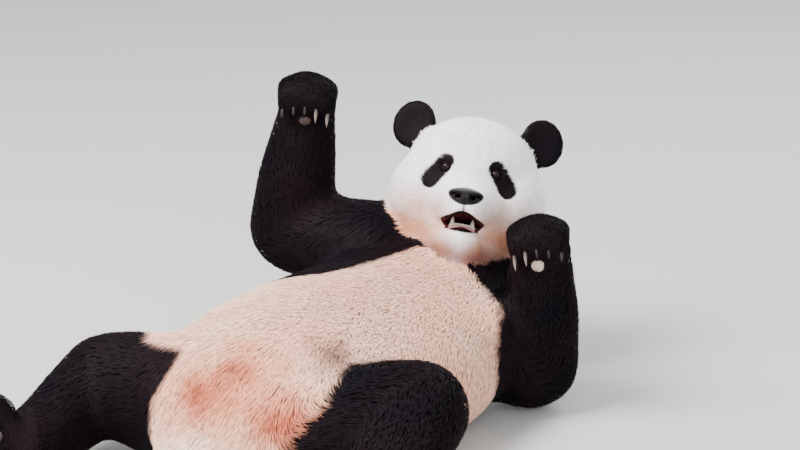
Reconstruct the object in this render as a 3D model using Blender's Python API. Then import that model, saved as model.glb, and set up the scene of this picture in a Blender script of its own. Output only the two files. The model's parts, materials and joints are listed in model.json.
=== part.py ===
"""A giant panda lying on its back with its head and one arm raised, life size, as solids.

World axes while modelling: +Y runs from the rump to the head, +X to the animal's own left,
+Z up out of its belly, and the floor is z = 0.  At the end everything is moved so that the
origin is the middle of the box's base.  All lengths are in metres.

The flesh is modelled whole: lofts along the bones are fused by a voxel remesh, smoothed and
made coarser, and parted by thin cuts at the joints.  The head and the paws come from a finer
copy of the same surface.  Ears, eyes, nose, teeth, tongue and claws are solids of their own,
each in a seat cut for it.
"""

import math

import bmesh
import bpy
import numpy as np
from mathutils import Matrix, Vector

# ---------------------------------------------------------------- driving dimensions
GAP = 0.0004  # thickness of the cuts between neighbouring solids
SEAT_GAP = 0.0006  # clearance round what is set into a seat
GUM_SEAT_GAP = 0.002  # clearance round the gums, whose crowns stand out of them a little
VOXEL = 0.0065  # size of the remesh that fuses the lofts
SMOOTHING = 5  # passes of smoothing after the remesh
SIDES = 28  # points round a loft
COARSE_TRIANGLES = 1850  # everything but the head, for trunk and limbs
FINE_TRIANGLES = 2500  # the same again, for the paws
HEAD_TRIANGLES = 850
SIDE = Vector((1, 0, 0))

# Trunk: sections (place along Y, height, half width, half depth, roll to the left in degrees).
TRUNK_SECTIONS = [
    (-0.415, 0.098, 0.112, 0.090, 4),
    (-0.330, 0.132, 0.197, 0.140, 6),
    (-0.210, 0.151, 0.240, 0.161, 9),
    (-0.060, 0.149, 0.256, 0.160, 11),
    (0.090, 0.147, 0.258, 0.154, 11),
    (0.210, 0.156, 0.240, 0.146, 11),
    (0.310, 0.180, 0.197, 0.133, 12),
]
# Neck: (x, y, z, half width, half depth, roll), from the chest to the back of the skull.
NECK_SECTIONS = [
    (0.000, 0.270, 0.185, 0.170, 0.125, 14),
    (0.000, 0.370, 0.215, 0.152, 0.125, 14),
    (-0.015, 0.445, 0.265, 0.138, 0.122, 20),
    (-0.030, 0.490, 0.330, 0.122, 0.112, 30),
]
# Tail: (x, y, z, half width, half depth).
TAIL_SECTIONS = [
    (0.000, -0.420, 0.060, 0.060, 0.050),
    (0.004, -0.510, 0.042, 0.046, 0.036),
    (0.014, -0.585, 0.034, 0.037, 0.028),
]

# Head: its centre, and the way it faces (azimuth from -Y towards +X, pitch up, roll).
HEAD_CENTRE = Vector((0.005, 0.443, 0.390))
HEAD_YAW, HEAD_PITCH, HEAD_ROLL = (math.radians(d) for d in (32, 25, 9))

# Limbs: joints from the trunk outwards, and the radii at the start, middle and end of each bone.
LIMBS = {
    "arm_left": [(0.135, 0.235, 0.150), (0.225, 0.342, 0.080), (0.246, 0.325, 0.325)],
    "arm_right": [(-0.135, 0.335, 0.262), (-0.345, 0.300, 0.284), (-0.306, 0.320, 0.543)],
    "leg_left": [(0.100, -0.300, 0.115), (0.270, -0.140, 0.168), (0.335, -0.370, 0.078)],
    "leg_right": [(-0.115, -0.290, 0.145), (-0.350, -0.270, 0.140), (-0.345, -0.500, 0.078)],
}
BONE_RADII = {
    "arm": ((0.108, 0.096, 0.086), (0.086, 0.080, 0.060)),
    "leg": ((0.132, 0.114, 0.094), (0.092, 0.078, 0.062)),
}
BONE_NAMES = {"arm": ("upper_arm", "forearm", "forepaw"), "leg": ("thigh", "shank", "hindfoot")}

# Paws: which way they run from the wrist or ankle, and which way the palm or sole faces.
PAWS = {
    "arm_left": ((-0.08, -0.12, 1.0), (0.40, -0.90, 0.10)),
    "arm_right": ((0.18, -0.12, 1.0), (0.52, -0.84, 0.10)),
    "leg_left": ((0.60, -0.30, 0.66), (-0.10, -0.95, -0.25)),
    "leg_right": ((-0.58, -0.34, 0.66), (0.10, -0.95, -0.25)),
}
# Palm and digits along the paw: (distance along, distance towards the palm, half width or
# radius, half depth).
PALMS = {
    "arm": [(-0.020, 0.000, 0.048, 0.046), (0.025, 0.000, 0.055, 0.040), (0.055, 0.008, 0.055, 0.034)],
    "leg": [(-0.030, 0.006, 0.050, 0.050), (0.040, 0.006, 0.052, 0.040), (0.100, 0.004, 0.054, 0.032)],
}
DIGITS = {
    "arm": [(0.044, 0.004, 0.0190), (0.072, 0.022, 0.0205), (0.064, 0.056, 0.0190), (0.034, 0.066, 0.0155)],
    "leg": [(0.090, 0.000, 0.0190), (0.122, 0.006, 0.0190), (0.146, 0.020, 0.0175), (0.158, 0.036, 0.0145)],
}
DIGIT_SPACING = 0.0225
DIGIT_SHORTENING = 0.013  # the outer digits end this much short of the middle one
CLAW_LENGTH, CLAW_RADIUS, CLAW_BEND = 0.027, 0.0048, math.radians(75)

EYE_RADIUS = 0.0120
EAR_HALF_WIDTH, EAR_HALF_HEIGHT, EAR_THICKNESS = 0.048, 0.054, 0.036
TOOTH_SIDES = 5

BLACK = (0.018, 0.014, 0.016)
CREAM = (0.830, 0.720, 0.600)
WHITE = (0.880, 0.850, 0.800)
HORN = (0.420, 0.330, 0.250)
LEATHER = (0.022, 0.018, 0.020)
GUM = (0.560, 0.260, 0.240)
IVORY = (0.830, 0.780, 0.640)


# ---------------------------------------------------------------- small helpers
def material(name, colour, roughness=0.7):
    """A Principled material of one colour."""
    made = bpy.data.materials.get(name) or bpy.data.materials.new(name)
    made.use_nodes = True
    shader = made.node_tree.nodes["Principled BSDF"]
    shader.inputs["Base Color"].default_value = (*colour, 1)
    shader.inputs["Roughness"].default_value = roughness
    shader.inputs["Metallic"].default_value = 0
    return made


def add_object(name, mesh):
    obj = bpy.data.objects.new(name, mesh)
    bpy.context.scene.collection.objects.link(obj)
    return obj


def mesh_of(name, bm):
    """Turns a bmesh into a mesh whose faces point out."""
    bmesh.ops.recalc_face_normals(bm, faces=bm.faces)
    mesh = bpy.data.meshes.new(name)
    bm.to_mesh(mesh)
    bm.free()
    return mesh


def bmesh_of(mesh):
    bm = bmesh.new()
    bm.from_mesh(mesh)
    return bm


def smooth_rows(rows, per_span):
    """A Catmull-Rom curve through rows of numbers, such as places with their half sizes."""
    rows = np.array(rows, float)
    ends = np.vstack([2 * rows[0] - rows[1], rows, 2 * rows[-1] - rows[-2]])
    made = []
    for a, b, c, d in zip(ends, ends[1:], ends[2:], ends[3:]):
        for t in np.arange(per_span) / per_span:
            bend = (2 * a - 5 * b + 4 * c - d) * t**2 + (3 * b - a - 3 * c + d) * t**3
            made.append(0.5 * (2 * b + (c - a) * t + bend))
    return np.vstack([made, rows[-1]])


def rounded_ends(rows, caps, cap_share=0.85):
    """Adds shrinking sections past both ends, so that a loft closes in a dome."""
    done = list(rows)
    for end, inner in ((0, 1), (-1, -2)):
        out = rows[end][:3] - rows[inner][:3]
        out = out / np.linalg.norm(out) * cap_share * rows[end][3:5].mean()
        for angle in caps:
            row = rows[end].copy()
            row[:3] += out * math.sin(math.radians(angle))
            row[3:5] *= math.cos(math.radians(angle))
            done = [row, *done] if end == 0 else [*done, row]
    return np.array(done)


def loft(name, sections, side=SIDE, matrix=None, sides=SIDES, per_span=5, caps=(30, 55, 75)):
    """A closed tube through sections (x, y, z, half width, half depth[, roll in degrees]).

    side is the direction of the half width, turned about the tube by the roll; caps are the
    angles of the rings that round its ends off.
    """
    rows = rounded_ends(smooth_rows(sections, per_span), caps)
    tangents = np.gradient(rows[:, :3], axis=0)
    bm = bmesh.new()
    rings = []
    for row, tangent in zip(rows, tangents):
        along = Vector(tangent).normalized()
        across = (Vector(side) - Vector(side).dot(along) * along).normalized()
        if len(row) > 5:
            across = Matrix.Rotation(math.radians(row[5]), 3, along) @ across
        depth = along.cross(across)
        ring = []
        for k in range(sides):
            angle = 2 * math.pi * k / sides
            offset = across * row[3] * math.cos(angle) + depth * row[4] * math.sin(angle)
            ring.append(bm.verts.new(Vector(row[:3]) + offset))
        rings.append(ring)
    for first, second in zip(rings, rings[1:]):
        for k in range(sides):
            after = (k + 1) % sides
            bm.faces.new((first[k], first[after], second[after], second[k]))
    bm.faces.new(rings[0])
    bm.faces.new(rings[-1])
    if matrix:
        bm.transform(matrix)
    return mesh_of(name, bm)


def ellipsoid(name, centre, half_sizes, matrix=None, segments=24, rings=16):
    bm = bmesh.new()
    bmesh.ops.create_uvsphere(bm, u_segments=segments, v_segments=rings, radius=1)
    bm.transform(Matrix.Translation(centre) @ Matrix.Diagonal((*half_sizes, 1)))
    if matrix:
        bm.transform(matrix)
    return mesh_of(name, bm)


def joined(name, meshes):
    bm = bmesh.new()
    for mesh in meshes:
        bm.from_mesh(mesh)
    return mesh_of(name, bm)


def applied(obj):
    """The object with its modifiers made real."""
    graph = bpy.context.evaluated_depsgraph_get()
    mesh = bpy.data.meshes.new_from_object(obj.evaluated_get(graph))
    obj.modifiers.clear()
    obj.data = mesh
    return obj


def boolean(mesh, other, operation="DIFFERENCE"):
    """The difference or union of two closed meshes."""
    obj = add_object("worked", mesh)
    cutter = add_object("cutter", other)
    modifier = obj.modifiers.new(operation, "BOOLEAN")
    modifier.operation = operation
    modifier.object = cutter
    done = applied(obj).data
    bpy.data.objects.remove(cutter)
    bpy.data.objects.remove(obj)
    return done


def grown(mesh, by):
    """A copy of a mesh that stands out by a clearance, to cut a seat with."""
    bm = bmesh_of(mesh)
    bm.normal_update()
    for vertex, place in [(v, v.co + v.normal * by) for v in bm.verts]:
        vertex.co = place
    return mesh_of(mesh.name + "_seat", bm)


def modified(mesh, kind, **settings):
    """The mesh after one modifier."""
    obj = add_object("worked", mesh)
    modifier = obj.modifiers.new(kind, kind)
    for name, value in settings.items():
        setattr(modifier, name, value)
    done = applied(obj).data
    bpy.data.objects.remove(obj)
    return done


def fused(meshes):
    """One smooth closed surface round overlapping meshes."""
    mesh = modified(joined("fused", meshes), "REMESH", mode="VOXEL", voxel_size=VOXEL)
    return modified(mesh, "SMOOTH", factor=0.5, iterations=SMOOTHING)


def coarser(mesh, triangles):
    """The mesh with about this many triangles, flat where it meets the floor."""
    now = sum(len(face.vertices) - 2 for face in mesh.polygons)
    mesh = modified(mesh, "DECIMATE", ratio=triangles / now, use_collapse_triangulate=True)
    bm = bmesh_of(mesh)
    everything = [*bm.verts, *bm.edges, *bm.faces]
    bmesh.ops.bisect_plane(bm, geom=everything, plane_no=(0, 0, 1), clear_inner=True)
    rim = [edge for edge in bm.edges if edge.is_boundary]
    flats = bmesh.ops.holes_fill(bm, edges=rim)["faces"]
    bmesh.ops.triangulate(bm, faces=flats)
    return mesh_of("body", bm)


def curtain(path, rise, thickness=GAP):
    """A thin plate to cut with: it follows a path and reaches from there along rise."""
    path = [Vector(place) for place in path]
    rise = Vector(rise)
    ways = [(after - before).normalized() for before, after in zip(path, path[1:])]
    offsets = []
    for before, after in zip([ways[0], *ways], [*ways, ways[-1]]):
        normal = (before + after).cross(rise).normalized()
        offsets.append(normal * thickness / 2 / normal.dot(before.cross(rise).normalized()))
    bm = bmesh.new()
    rows = []
    for place, offset in zip(path, offsets):
        corners = (place - offset, place + offset, place + offset + rise, place - offset + rise)
        rows.append([bm.verts.new(corner) for corner in corners])
    for row, following in zip(rows, rows[1:]):
        for k in range(4):
            after = (k + 1) % 4
            bm.faces.new((row[k], row[after], following[after], following[k]))
    bm.faces.new(rows[0])
    bm.faces.new(rows[-1])
    return mesh_of("curtain", bm)


def slab(point, normal, half_size):
    """A square plate through a point."""
    across = Vector(normal).orthogonal().normalized()
    rise = Vector(normal).cross(across).normalized()
    start = Vector(point) - rise * half_size
    path = [start - across * half_size, start + across * half_size]
    return curtain(path, rise * 2 * half_size)


def islands(mesh):
    """The separate bodies of a mesh, largest first."""
    bm = bmesh_of(mesh)
    left = set(bm.verts)
    groups = []
    while left:
        stack = [left.pop()]
        group = {stack[0]}
        while stack:
            for edge in stack.pop().link_edges:
                for vertex in edge.verts:
                    if vertex in left:
                        left.discard(vertex)
                        group.add(vertex)
                        stack.append(vertex)
        groups.append(sorted(vertex.index for vertex in group))
    bm.free()
    made = []
    for group in sorted(groups, key=len, reverse=True):
        kept = set(group)
        bm = bmesh_of(mesh)
        bm.verts.ensure_lookup_table()
        bmesh.ops.delete(bm, geom=[v for v in bm.verts if v.index not in kept], context="VERTS")
        made.append(mesh_of("island", bm))
    return made


def parted(mesh, cutter, outwards):
    """Cuts a mesh in two with a thin plate: (the piece farther outwards, the other)."""
    pieces = islands(boolean(mesh, cutter))
    if len(pieces) != 2:
        raise ValueError(f"a cut left {len(pieces)} pieces, not 2")
    reach = [sum((v.co for v in piece.vertices), Vector()) / len(piece.vertices) for piece in pieces]
    if reach[0].dot(Vector(outwards)) > reach[1].dot(Vector(outwards)):
        return pieces[0], pieces[1]
    return pieces[1], pieces[0]


def seated(mesh, other):
    """The mesh with a seat cut for another, less any crumb that this breaks off."""
    return islands(boolean(mesh, grown(other, SEAT_GAP)))[0]


# ---------------------------------------------------------------- the head
def head_matrix():
    """Head frame to world: x to the animal's left, y to the back of the head, z up."""
    level = math.cos(HEAD_PITCH)
    forward = Vector((math.sin(HEAD_YAW) * level, -math.cos(HEAD_YAW) * level, math.sin(HEAD_PITCH)))
    left = Vector((math.cos(HEAD_YAW), math.sin(HEAD_YAW), 0))
    turn = Matrix((left, -forward, left.cross(-forward))).transposed()
    roll = Matrix.Rotation(-HEAD_ROLL, 3, forward)
    return Matrix.Translation(HEAD_CENTRE) @ (roll @ turn).to_4x4()


HEAD = head_matrix()

# Places in the head's frame.
EYE_PLACE = Vector((0.0500, -0.1000, 0.024))
NOSE_PLACE, NOSE_HALF = Vector((0, -0.170, -0.041)), (0.036, 0.020, 0.0195)
EAR_PLACE, EAR_FACING = Vector((0.133, 0.032, 0.123)), Vector((0.30, -1.0, 0.10))
ARCH_HALF_WIDTH, ARCH_BACK, ARCH_LENGTH = 0.027, -0.092, 0.036
INCISOR_SPACING = 0.0054
# Teeth: (holder, height of the gum, which way they stand, canines' spread and length).
TEETH = {
    "upper_teeth": ("head", -0.0725, -1, 0.0245, 0.0120),
    "lower_teeth": ("jaw", -0.0965, 1, 0.0190, 0.0175),
}
CHEEK_HALVES = {
    "cheek": ((0.084, 0.004, -0.026), (0.080, 0.100, 0.100)),
    "ruff": ((0.052, -0.006, -0.082), (0.078, 0.088, 0.070)),
}
SKULL_HALVES = {
    "skull": ((0, 0.020, 0.030), (0.138, 0.140, 0.124)),
    "brow": ((0, -0.036, 0.044), (0.102, 0.079, 0.086)),
}
MUZZLE = [
    (0, -0.046, -0.034, 0.098, 0.074),
    (0, -0.102, -0.043, 0.071, 0.054),
    (0, -0.134, -0.048, 0.058, 0.044),
    (0, -0.146, -0.050, 0.051, 0.038),
]
JAW = [
    (0, -0.015, -0.112, 0.094, 0.056),
    (0, -0.072, -0.130, 0.078, 0.045),
    (0, -0.104, -0.132, 0.053, 0.034),
]
MOUTH = [
    (0, -0.215, -0.0860, 0.058, 0.0150),
    (0, -0.150, -0.0855, 0.055, 0.0135),
    (0, -0.115, -0.0840, 0.047, 0.0115),
    (0, -0.085, -0.0830, 0.036, 0.0095),
    (0, -0.062, -0.0820, 0.024, 0.0075),
]
# The cut that parts the jaw from the head: from the corners of the mouth down to the throat.
JAW_LINE = [
    (-0.200, -0.118, -0.0840),
    (-0.044, -0.110, -0.0840),
    (-0.020, -0.070, -0.0825),
    (0.020, -0.070, -0.0825),
    (0.044, -0.110, -0.0840),
    (0.200, -0.118, -0.0840),
]
JAW_LINE_WAY = (0, 0.160, -0.130)


def head_meshes():
    made = [ellipsoid(name, *halves, HEAD) for name, halves in SKULL_HALVES.items()]
    for name, ((x, y, z), half_sizes) in CHEEK_HALVES.items():
        for side in (1, -1):
            made.append(ellipsoid(name, (side * x, y, z), half_sizes, HEAD))
    return [*made, loft("muzzle", MUZZLE, matrix=HEAD), loft("jaw", JAW, matrix=HEAD)]


def ear_mesh(side):
    """A round thick ear, hollowed in front, standing on the head."""
    place, facing = EAR_PLACE.copy(), EAR_FACING.copy()
    place.x *= side
    facing.x *= side
    bm = bmesh.new()
    bmesh.ops.create_uvsphere(bm, u_segments=14, v_segments=8, radius=1)
    for vertex in bm.verts:
        x, y, z = vertex.co
        hollow = 0.75 * max(0, 1 - (x * x + y * y) / 0.72) if z > 0 else 0
        vertex.co = (x * EAR_HALF_WIDTH, y * EAR_HALF_HEIGHT, (z - hollow) * EAR_THICKNESS / 2)
    turn = facing.to_track_quat("Z", "Y").to_matrix().to_4x4()
    bm.transform(HEAD @ Matrix.Translation(place) @ turn)
    return mesh_of("ear", bm)


def gum_arch(height, extra=0.0):
    """The horseshoe that the teeth of one jaw stand in, fatter by extra all round."""
    arch = []
    for angle in np.radians(np.linspace(-78, 78, 6)):
        place = (ARCH_HALF_WIDTH * math.sin(angle), ARCH_BACK - ARCH_LENGTH * math.cos(angle), height)
        arch.append((*place, 0.0052 + extra, 0.0055 + extra))
    return loft("gums", arch, side=(0, 0, 1), sides=6, per_span=1, caps=())


def teeth(height, up, canine_spread, canine_length):
    """A gum arch with two canines and a row of six incisors; up is +1 for the lower jaw."""
    mesh = gum_arch(height)
    crowns = [(canine_spread * side, 0.0046, canine_length) for side in (1, -1)]
    crowns += [((k - 2.5) * INCISOR_SPACING, 0.0026, 0.0105) for k in range(6)]
    for x, radius, length in crowns:
        y = ARCH_BACK - ARCH_LENGTH * math.sqrt(1 - (x / ARCH_HALF_WIDTH) ** 2)
        crown = [(x, y, height + up * 0.001, radius, radius)]
        crown.append((x, y, height + up * length, radius / 4, radius / 4))
        tooth = loft("crown", crown, sides=TOOTH_SIDES, per_span=1, caps=())
        mesh = boolean(mesh, tooth, "UNION")
    mesh.transform(HEAD)
    seat = gum_arch(height, GUM_SEAT_GAP)
    seat.transform(HEAD)
    return mesh, seat


TONGUE = [
    (0, -0.076, -0.0930, 0.0130, 0.0045),
    (0, -0.096, -0.0935, 0.0150, 0.0048),
    (0, -0.110, -0.0930, 0.0120, 0.0040),
]


# ---------------------------------------------------------------- the paws
def paw_matrix(limb):
    """Paw frame to world: x along the paw from the wrist, y across it, z towards the palm."""
    along, palm = (Vector(way).normalized() for way in PAWS[limb])
    palm = (palm - palm.dot(along) * along).normalized()
    turn = Matrix((along, palm.cross(along), palm)).transposed().to_4x4()
    return Matrix.Translation(LIMBS[limb][2]) @ turn


def digit_path(kind, k):
    """Stations of digit k of 5: (along, across, towards the palm, radius)."""
    from_middle = k - 2
    short = DIGIT_SHORTENING * from_middle**2 / 4
    path = []
    for along, inward, radius in DIGITS[kind]:
        path.append((along - short, from_middle * DIGIT_SPACING, inward - short / 2, radius))
    return path


def paw_meshes(limb, kind):
    matrix = paw_matrix(limb)
    rows = [(along, 0, inward, wide, deep) for along, inward, wide, deep in PALMS[kind]]
    made = [loft("palm", rows, side=(0, 1, 0), matrix=matrix)]
    for k in range(5):
        rows = [(*place, radius, radius) for *place, radius in digit_path(kind, k)]
        made.append(loft("digit", rows, side=(0, 1, 0), matrix=matrix, sides=14))
    return made


def claw_mesh(limb, kind, k):
    """A tapering claw, rooted high in the end of a digit and curving towards the palm."""
    *_, before, last = digit_path(kind, k)
    tip, radius = Vector(last[:3]), last[3]
    way = (tip - Vector(before[:3])).normalized()
    back_of_paw = Vector((way.z, 0, -way.x))
    place = tip + back_of_paw * radius * 0.50 + way * radius * 0.10
    way = (way + back_of_paw * math.tan(CLAW_BEND / 6)).normalized()
    rows = []
    for width in (1.0, 0.92, 0.62, 0.20):
        rows.append((*place, CLAW_RADIUS * width * 0.75, CLAW_RADIUS * width))
        place = place + way * CLAW_LENGTH / 3
        back_of_paw = Vector((way.z, 0, -way.x))
        way = (way - back_of_paw * math.tan(CLAW_BEND / 3)).normalized()
    return loft("claw", rows, (0, 1, 0), paw_matrix(limb), sides=5, per_span=1, caps=())


# ---------------------------------------------------------------- the flesh
def bone_meshes(limb, kind):
    joints = [Vector(joint) for joint in LIMBS[limb]]
    made = []
    for start, end, radii in zip(joints, joints[1:], BONE_RADII[kind]):
        stations = [start, (start + end) / 2, end]
        rows = [(*place, radius, radius) for place, radius in zip(stations, radii)]
        made.append(loft("bone", rows))
    return made


def flesh():
    """The surface of everything but the head, out to the tips of the coat."""
    trunk = [(0, y, z, wide, deep, roll) for y, z, wide, deep, roll in TRUNK_SECTIONS]
    made = [loft("trunk", trunk), loft("neck", NECK_SECTIONS), loft("tail", TAIL_SECTIONS)]
    for limb in LIMBS:
        kind = limb.split("_")[0]
        made += bone_meshes(limb, kind) + paw_meshes(limb, kind)
    return fused(made)


# Where each limb leaves the trunk: a path on the floor below the cut, and the cut's height.
ROOT_PATHS = {
    "arm_left": ([(0.220, 0.600), (0.158, 0.400), (0.146, 0.310), (0.235, 0.245), (0.42, 0.15)], 0.27),
    "arm_right": ([(-0.160, 0.620), (-0.165, 0.335), (-0.235, 0.235), (-0.420, 0.120)], 0.45),
    "leg_left": ([(0.10, -0.62), (0.150, -0.360), (0.215, -0.160), (0.262, -0.05), (0.34, 0.05)], 0.40),
    "leg_right": ([(-0.100, -0.620), (-0.170, -0.380), (-0.232, -0.165), (-0.360, -0.020)], 0.40),
}
NECK_CUT, NECK_WAY = (0, 0.335, 0.200), Vector((0, 0.90, 0.44))
TAIL_CUT, TAIL_WAY = (0.004, -0.512, 0.042), Vector((0, -1, 0))
BELOW_FLOOR = -0.05


def flesh_nodes(body):
    """Parts the body into its named pieces."""
    nodes = {}
    for limb, joints in LIMBS.items():
        kind, side = limb.split("_")
        shoulder, elbow, wrist = (Vector(joint) for joint in joints)
        upper = (elbow - shoulder).normalized()
        lower = (wrist - elbow).normalized()
        first, second, third = (f"{bone}_{side}" for bone in BONE_NAMES[kind])
        path, height = ROOT_PATHS[limb]
        root = curtain([(x, y, BELOW_FLOOR) for x, y in path], (0, 0, height - BELOW_FLOOR))
        limb_mesh, body = parted(body, root, SIDE * elbow.x)
        beyond, nodes[first] = parted(limb_mesh, slab(elbow, upper + lower, 0.35), upper + lower)
        across = lower + Vector(PAWS[limb][0]).normalized()
        nodes[third], nodes[second] = parted(beyond, slab(wrist, across, 0.2), across)
    nodes["tail"], body = parted(body, slab(TAIL_CUT, TAIL_WAY, 0.08), TAIL_WAY)
    nodes["neck"], nodes["trunk"] = parted(body, slab(NECK_CUT, NECK_WAY, 0.3), NECK_WAY)
    return nodes


FINE_NODES = ("forepaw_left", "forepaw_right", "hindfoot_left", "hindfoot_right")
HEAD_NEIGHBOURS = ("neck", "trunk", "upper_arm_right")
FLESH_COLOURS = {"trunk": CREAM, "neck": BLACK, "head": WHITE, "jaw": WHITE, "tail": WHITE}


def main():
    for obj in list(bpy.data.objects):
        bpy.data.objects.remove(obj)
    surface = flesh()
    nodes = flesh_nodes(coarser(surface, COARSE_TRIANGLES))
    fine = flesh_nodes(coarser(surface, FINE_TRIANGLES))
    nodes.update((name, fine[name]) for name in FINE_NODES)
    colours = {name: FLESH_COLOURS.get(name, BLACK) for name in [*nodes, "head", "jaw"]}

    # The head rests in a seat in the neck; the mouth, and the jaw below it.
    head = coarser(fused(head_meshes()), HEAD_TRIANGLES)
    for name in HEAD_NEIGHBOURS:
        nodes[name] = seated(nodes[name], head)
    head = boolean(head, loft("mouth", MOUTH, matrix=HEAD, sides=14, per_span=2, caps=(50,)))
    jaw_cut = curtain(JAW_LINE, JAW_LINE_WAY)
    jaw_cut.transform(HEAD)
    nodes["jaw"], head = parted(head, jaw_cut, HEAD.to_3x3() @ Vector((0, -1, -1)))

    # Ears stand on the skull; the nose and the eyes are let into it.
    for name, side in (("left", 1), ("right", -1)):
        nodes[f"ear_{name}"] = seated(ear_mesh(side), head)
        colours[f"ear_{name}"] = BLACK
    x, y, z = EYE_PLACE
    eye_half = (EYE_RADIUS,) * 3
    inlaid = {
        "eye_left": (ellipsoid("eye", (x, y, z), eye_half, HEAD, 12, 7), LEATHER),
        "eye_right": (ellipsoid("eye", (-x, y, z), eye_half, HEAD, 12, 7), LEATHER),
        "nose": (ellipsoid("nose", NOSE_PLACE, NOSE_HALF, HEAD, 14, 8), LEATHER),
    }
    for name, (mesh, colour) in inlaid.items():
        head = seated(head, mesh)
        nodes[name], colours[name] = mesh, colour
    nodes["head"] = head
    for name, (holder, *shape) in TEETH.items():
        nodes[name], seat = teeth(*shape)
        nodes[holder] = islands(boolean(nodes[holder], seat))[0]
        colours[name] = IVORY
    nodes["tongue"] = loft("tongue", TONGUE, matrix=HEAD, sides=8, per_span=2, caps=(50,))
    nodes["jaw"] = seated(nodes["jaw"], nodes["tongue"])
    colours["tongue"] = GUM

    # Claws are rooted in the ends of the digits.
    for limb in LIMBS:
        kind, side = limb.split("_")
        paw = f"{BONE_NAMES[kind][2]}_{side}"
        for k in range(5):
            claw = claw_mesh(limb, kind, k)
            nodes[paw] = seated(nodes[paw], claw)
            nodes[f"claw_{paw}_{k + 1}"] = claw
            colours[f"claw_{paw}_{k + 1}"] = HORN

    # The origin goes to the middle of the box's base.
    places = np.array([v.co for mesh in nodes.values() for v in mesh.vertices])
    low, high = places.min(axis=0), places.max(axis=0)
    shift = Matrix.Translation(-Vector(((low[0] + high[0]) / 2, (low[1] + high[1]) / 2, low[2])))
    print("origin at", [round(float(x), 4) for x in shift.translation], "box", high - low)
    for name, mesh in nodes.items():
        mesh.transform(shift)
        mesh.materials.clear()
        mesh.materials.append(material(name, colours[name]))
        add_object(name, mesh)


if __name__ == "__main__":
    main()
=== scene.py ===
"""Looks for the giant panda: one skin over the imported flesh, and a coat of tufts on it.

The skin is the flesh solids fused, smoothed and sunk by the coat's depth, with the lids and
lips modelled on it.  The coat is made of closed, tapering, three-sided tufts that lie along a
field of directions and whose tips reach back out to the solids.  One function gives skin and
coat their colours.  Lengths are in metres.
"""

import json
import math

import bmesh
import bpy
import numpy as np
from mathutils import Matrix, Vector, noise
from mathutils.bvhtree import BVHTree
from mathutils.kdtree import KDTree

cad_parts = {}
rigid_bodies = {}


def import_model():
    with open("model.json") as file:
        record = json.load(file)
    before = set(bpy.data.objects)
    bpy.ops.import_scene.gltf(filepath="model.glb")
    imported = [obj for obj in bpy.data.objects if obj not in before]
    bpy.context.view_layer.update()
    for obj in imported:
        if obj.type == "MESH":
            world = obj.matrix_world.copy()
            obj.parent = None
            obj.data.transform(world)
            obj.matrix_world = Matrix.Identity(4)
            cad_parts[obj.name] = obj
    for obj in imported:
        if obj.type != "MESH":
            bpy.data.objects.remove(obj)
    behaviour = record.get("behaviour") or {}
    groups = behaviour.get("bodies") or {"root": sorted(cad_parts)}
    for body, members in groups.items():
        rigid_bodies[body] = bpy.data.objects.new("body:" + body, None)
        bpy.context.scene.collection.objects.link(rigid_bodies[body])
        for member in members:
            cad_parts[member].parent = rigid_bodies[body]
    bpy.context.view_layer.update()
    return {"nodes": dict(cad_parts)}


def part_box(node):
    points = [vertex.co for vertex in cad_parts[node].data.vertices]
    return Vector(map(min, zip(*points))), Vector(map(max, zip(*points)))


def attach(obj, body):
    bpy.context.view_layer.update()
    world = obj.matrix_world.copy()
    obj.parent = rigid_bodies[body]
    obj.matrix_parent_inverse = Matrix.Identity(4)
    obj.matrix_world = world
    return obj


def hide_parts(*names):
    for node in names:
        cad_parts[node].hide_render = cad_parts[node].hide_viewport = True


for obj in list(bpy.data.objects):
    bpy.data.objects.remove(obj)
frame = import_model()
NODES = frame["nodes"]
RANDOM = np.random.default_rng(7)
FEWER = 1.0  # share of the tufts that grow

# ---------------------------------------------------------------- driving values
GROW = 0.0012  # closes the thin cuts between the solids before they are fused
VOXEL = 0.0034  # of the remesh that fuses them
SKIN_TRIANGLES = 150000  # wanted, before the face is made finer
TUFTS = 246000
PIECE_TUFTS = 32500  # the most in one piece
TUFT_TRIANGLES = 6
DARK_HAIR = 0.10  # tufts whose red is below this get the black hair's material
LOCK_TUFTS, LOCK_PULL = 10, 0.25  # tufts in a lock, and how far at most their tips are drawn in
FLOOR_CLEARANCE = 0.0006
PATCH = 0.003  # size of one tuft on the unwrap
CAMERA_ANGLES = (32, 16)  # azimuth and elevation in degrees
CAMERA_AIM = (0, 0.44, 0.39)
CAMERA_DISTANCE = 4.5
CAMERA_LENS = 99.75
CAMERA_SHIFT = (-0.0825, -0.04375)
SKY_STRENGTH = 1.10
LAMP_AIM = Vector((0, 0.1, 0.2))
# Lamps: name, place, size, power in watts.
LAMPS = [
    ("key", (-1.6, -2.4, 4.2), 2.4, 640),
    ("fill", (3.6, -3.0, 2.2), 3.0, 190),
    ("rim", (0.5, 3.6, 3.2), 2.4, 120),
]

SIDES = (("left", 1), ("right", -1))
PAW_NAMES = ("forepaw_left", "forepaw_right", "hindfoot_left", "hindfoot_right")
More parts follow.
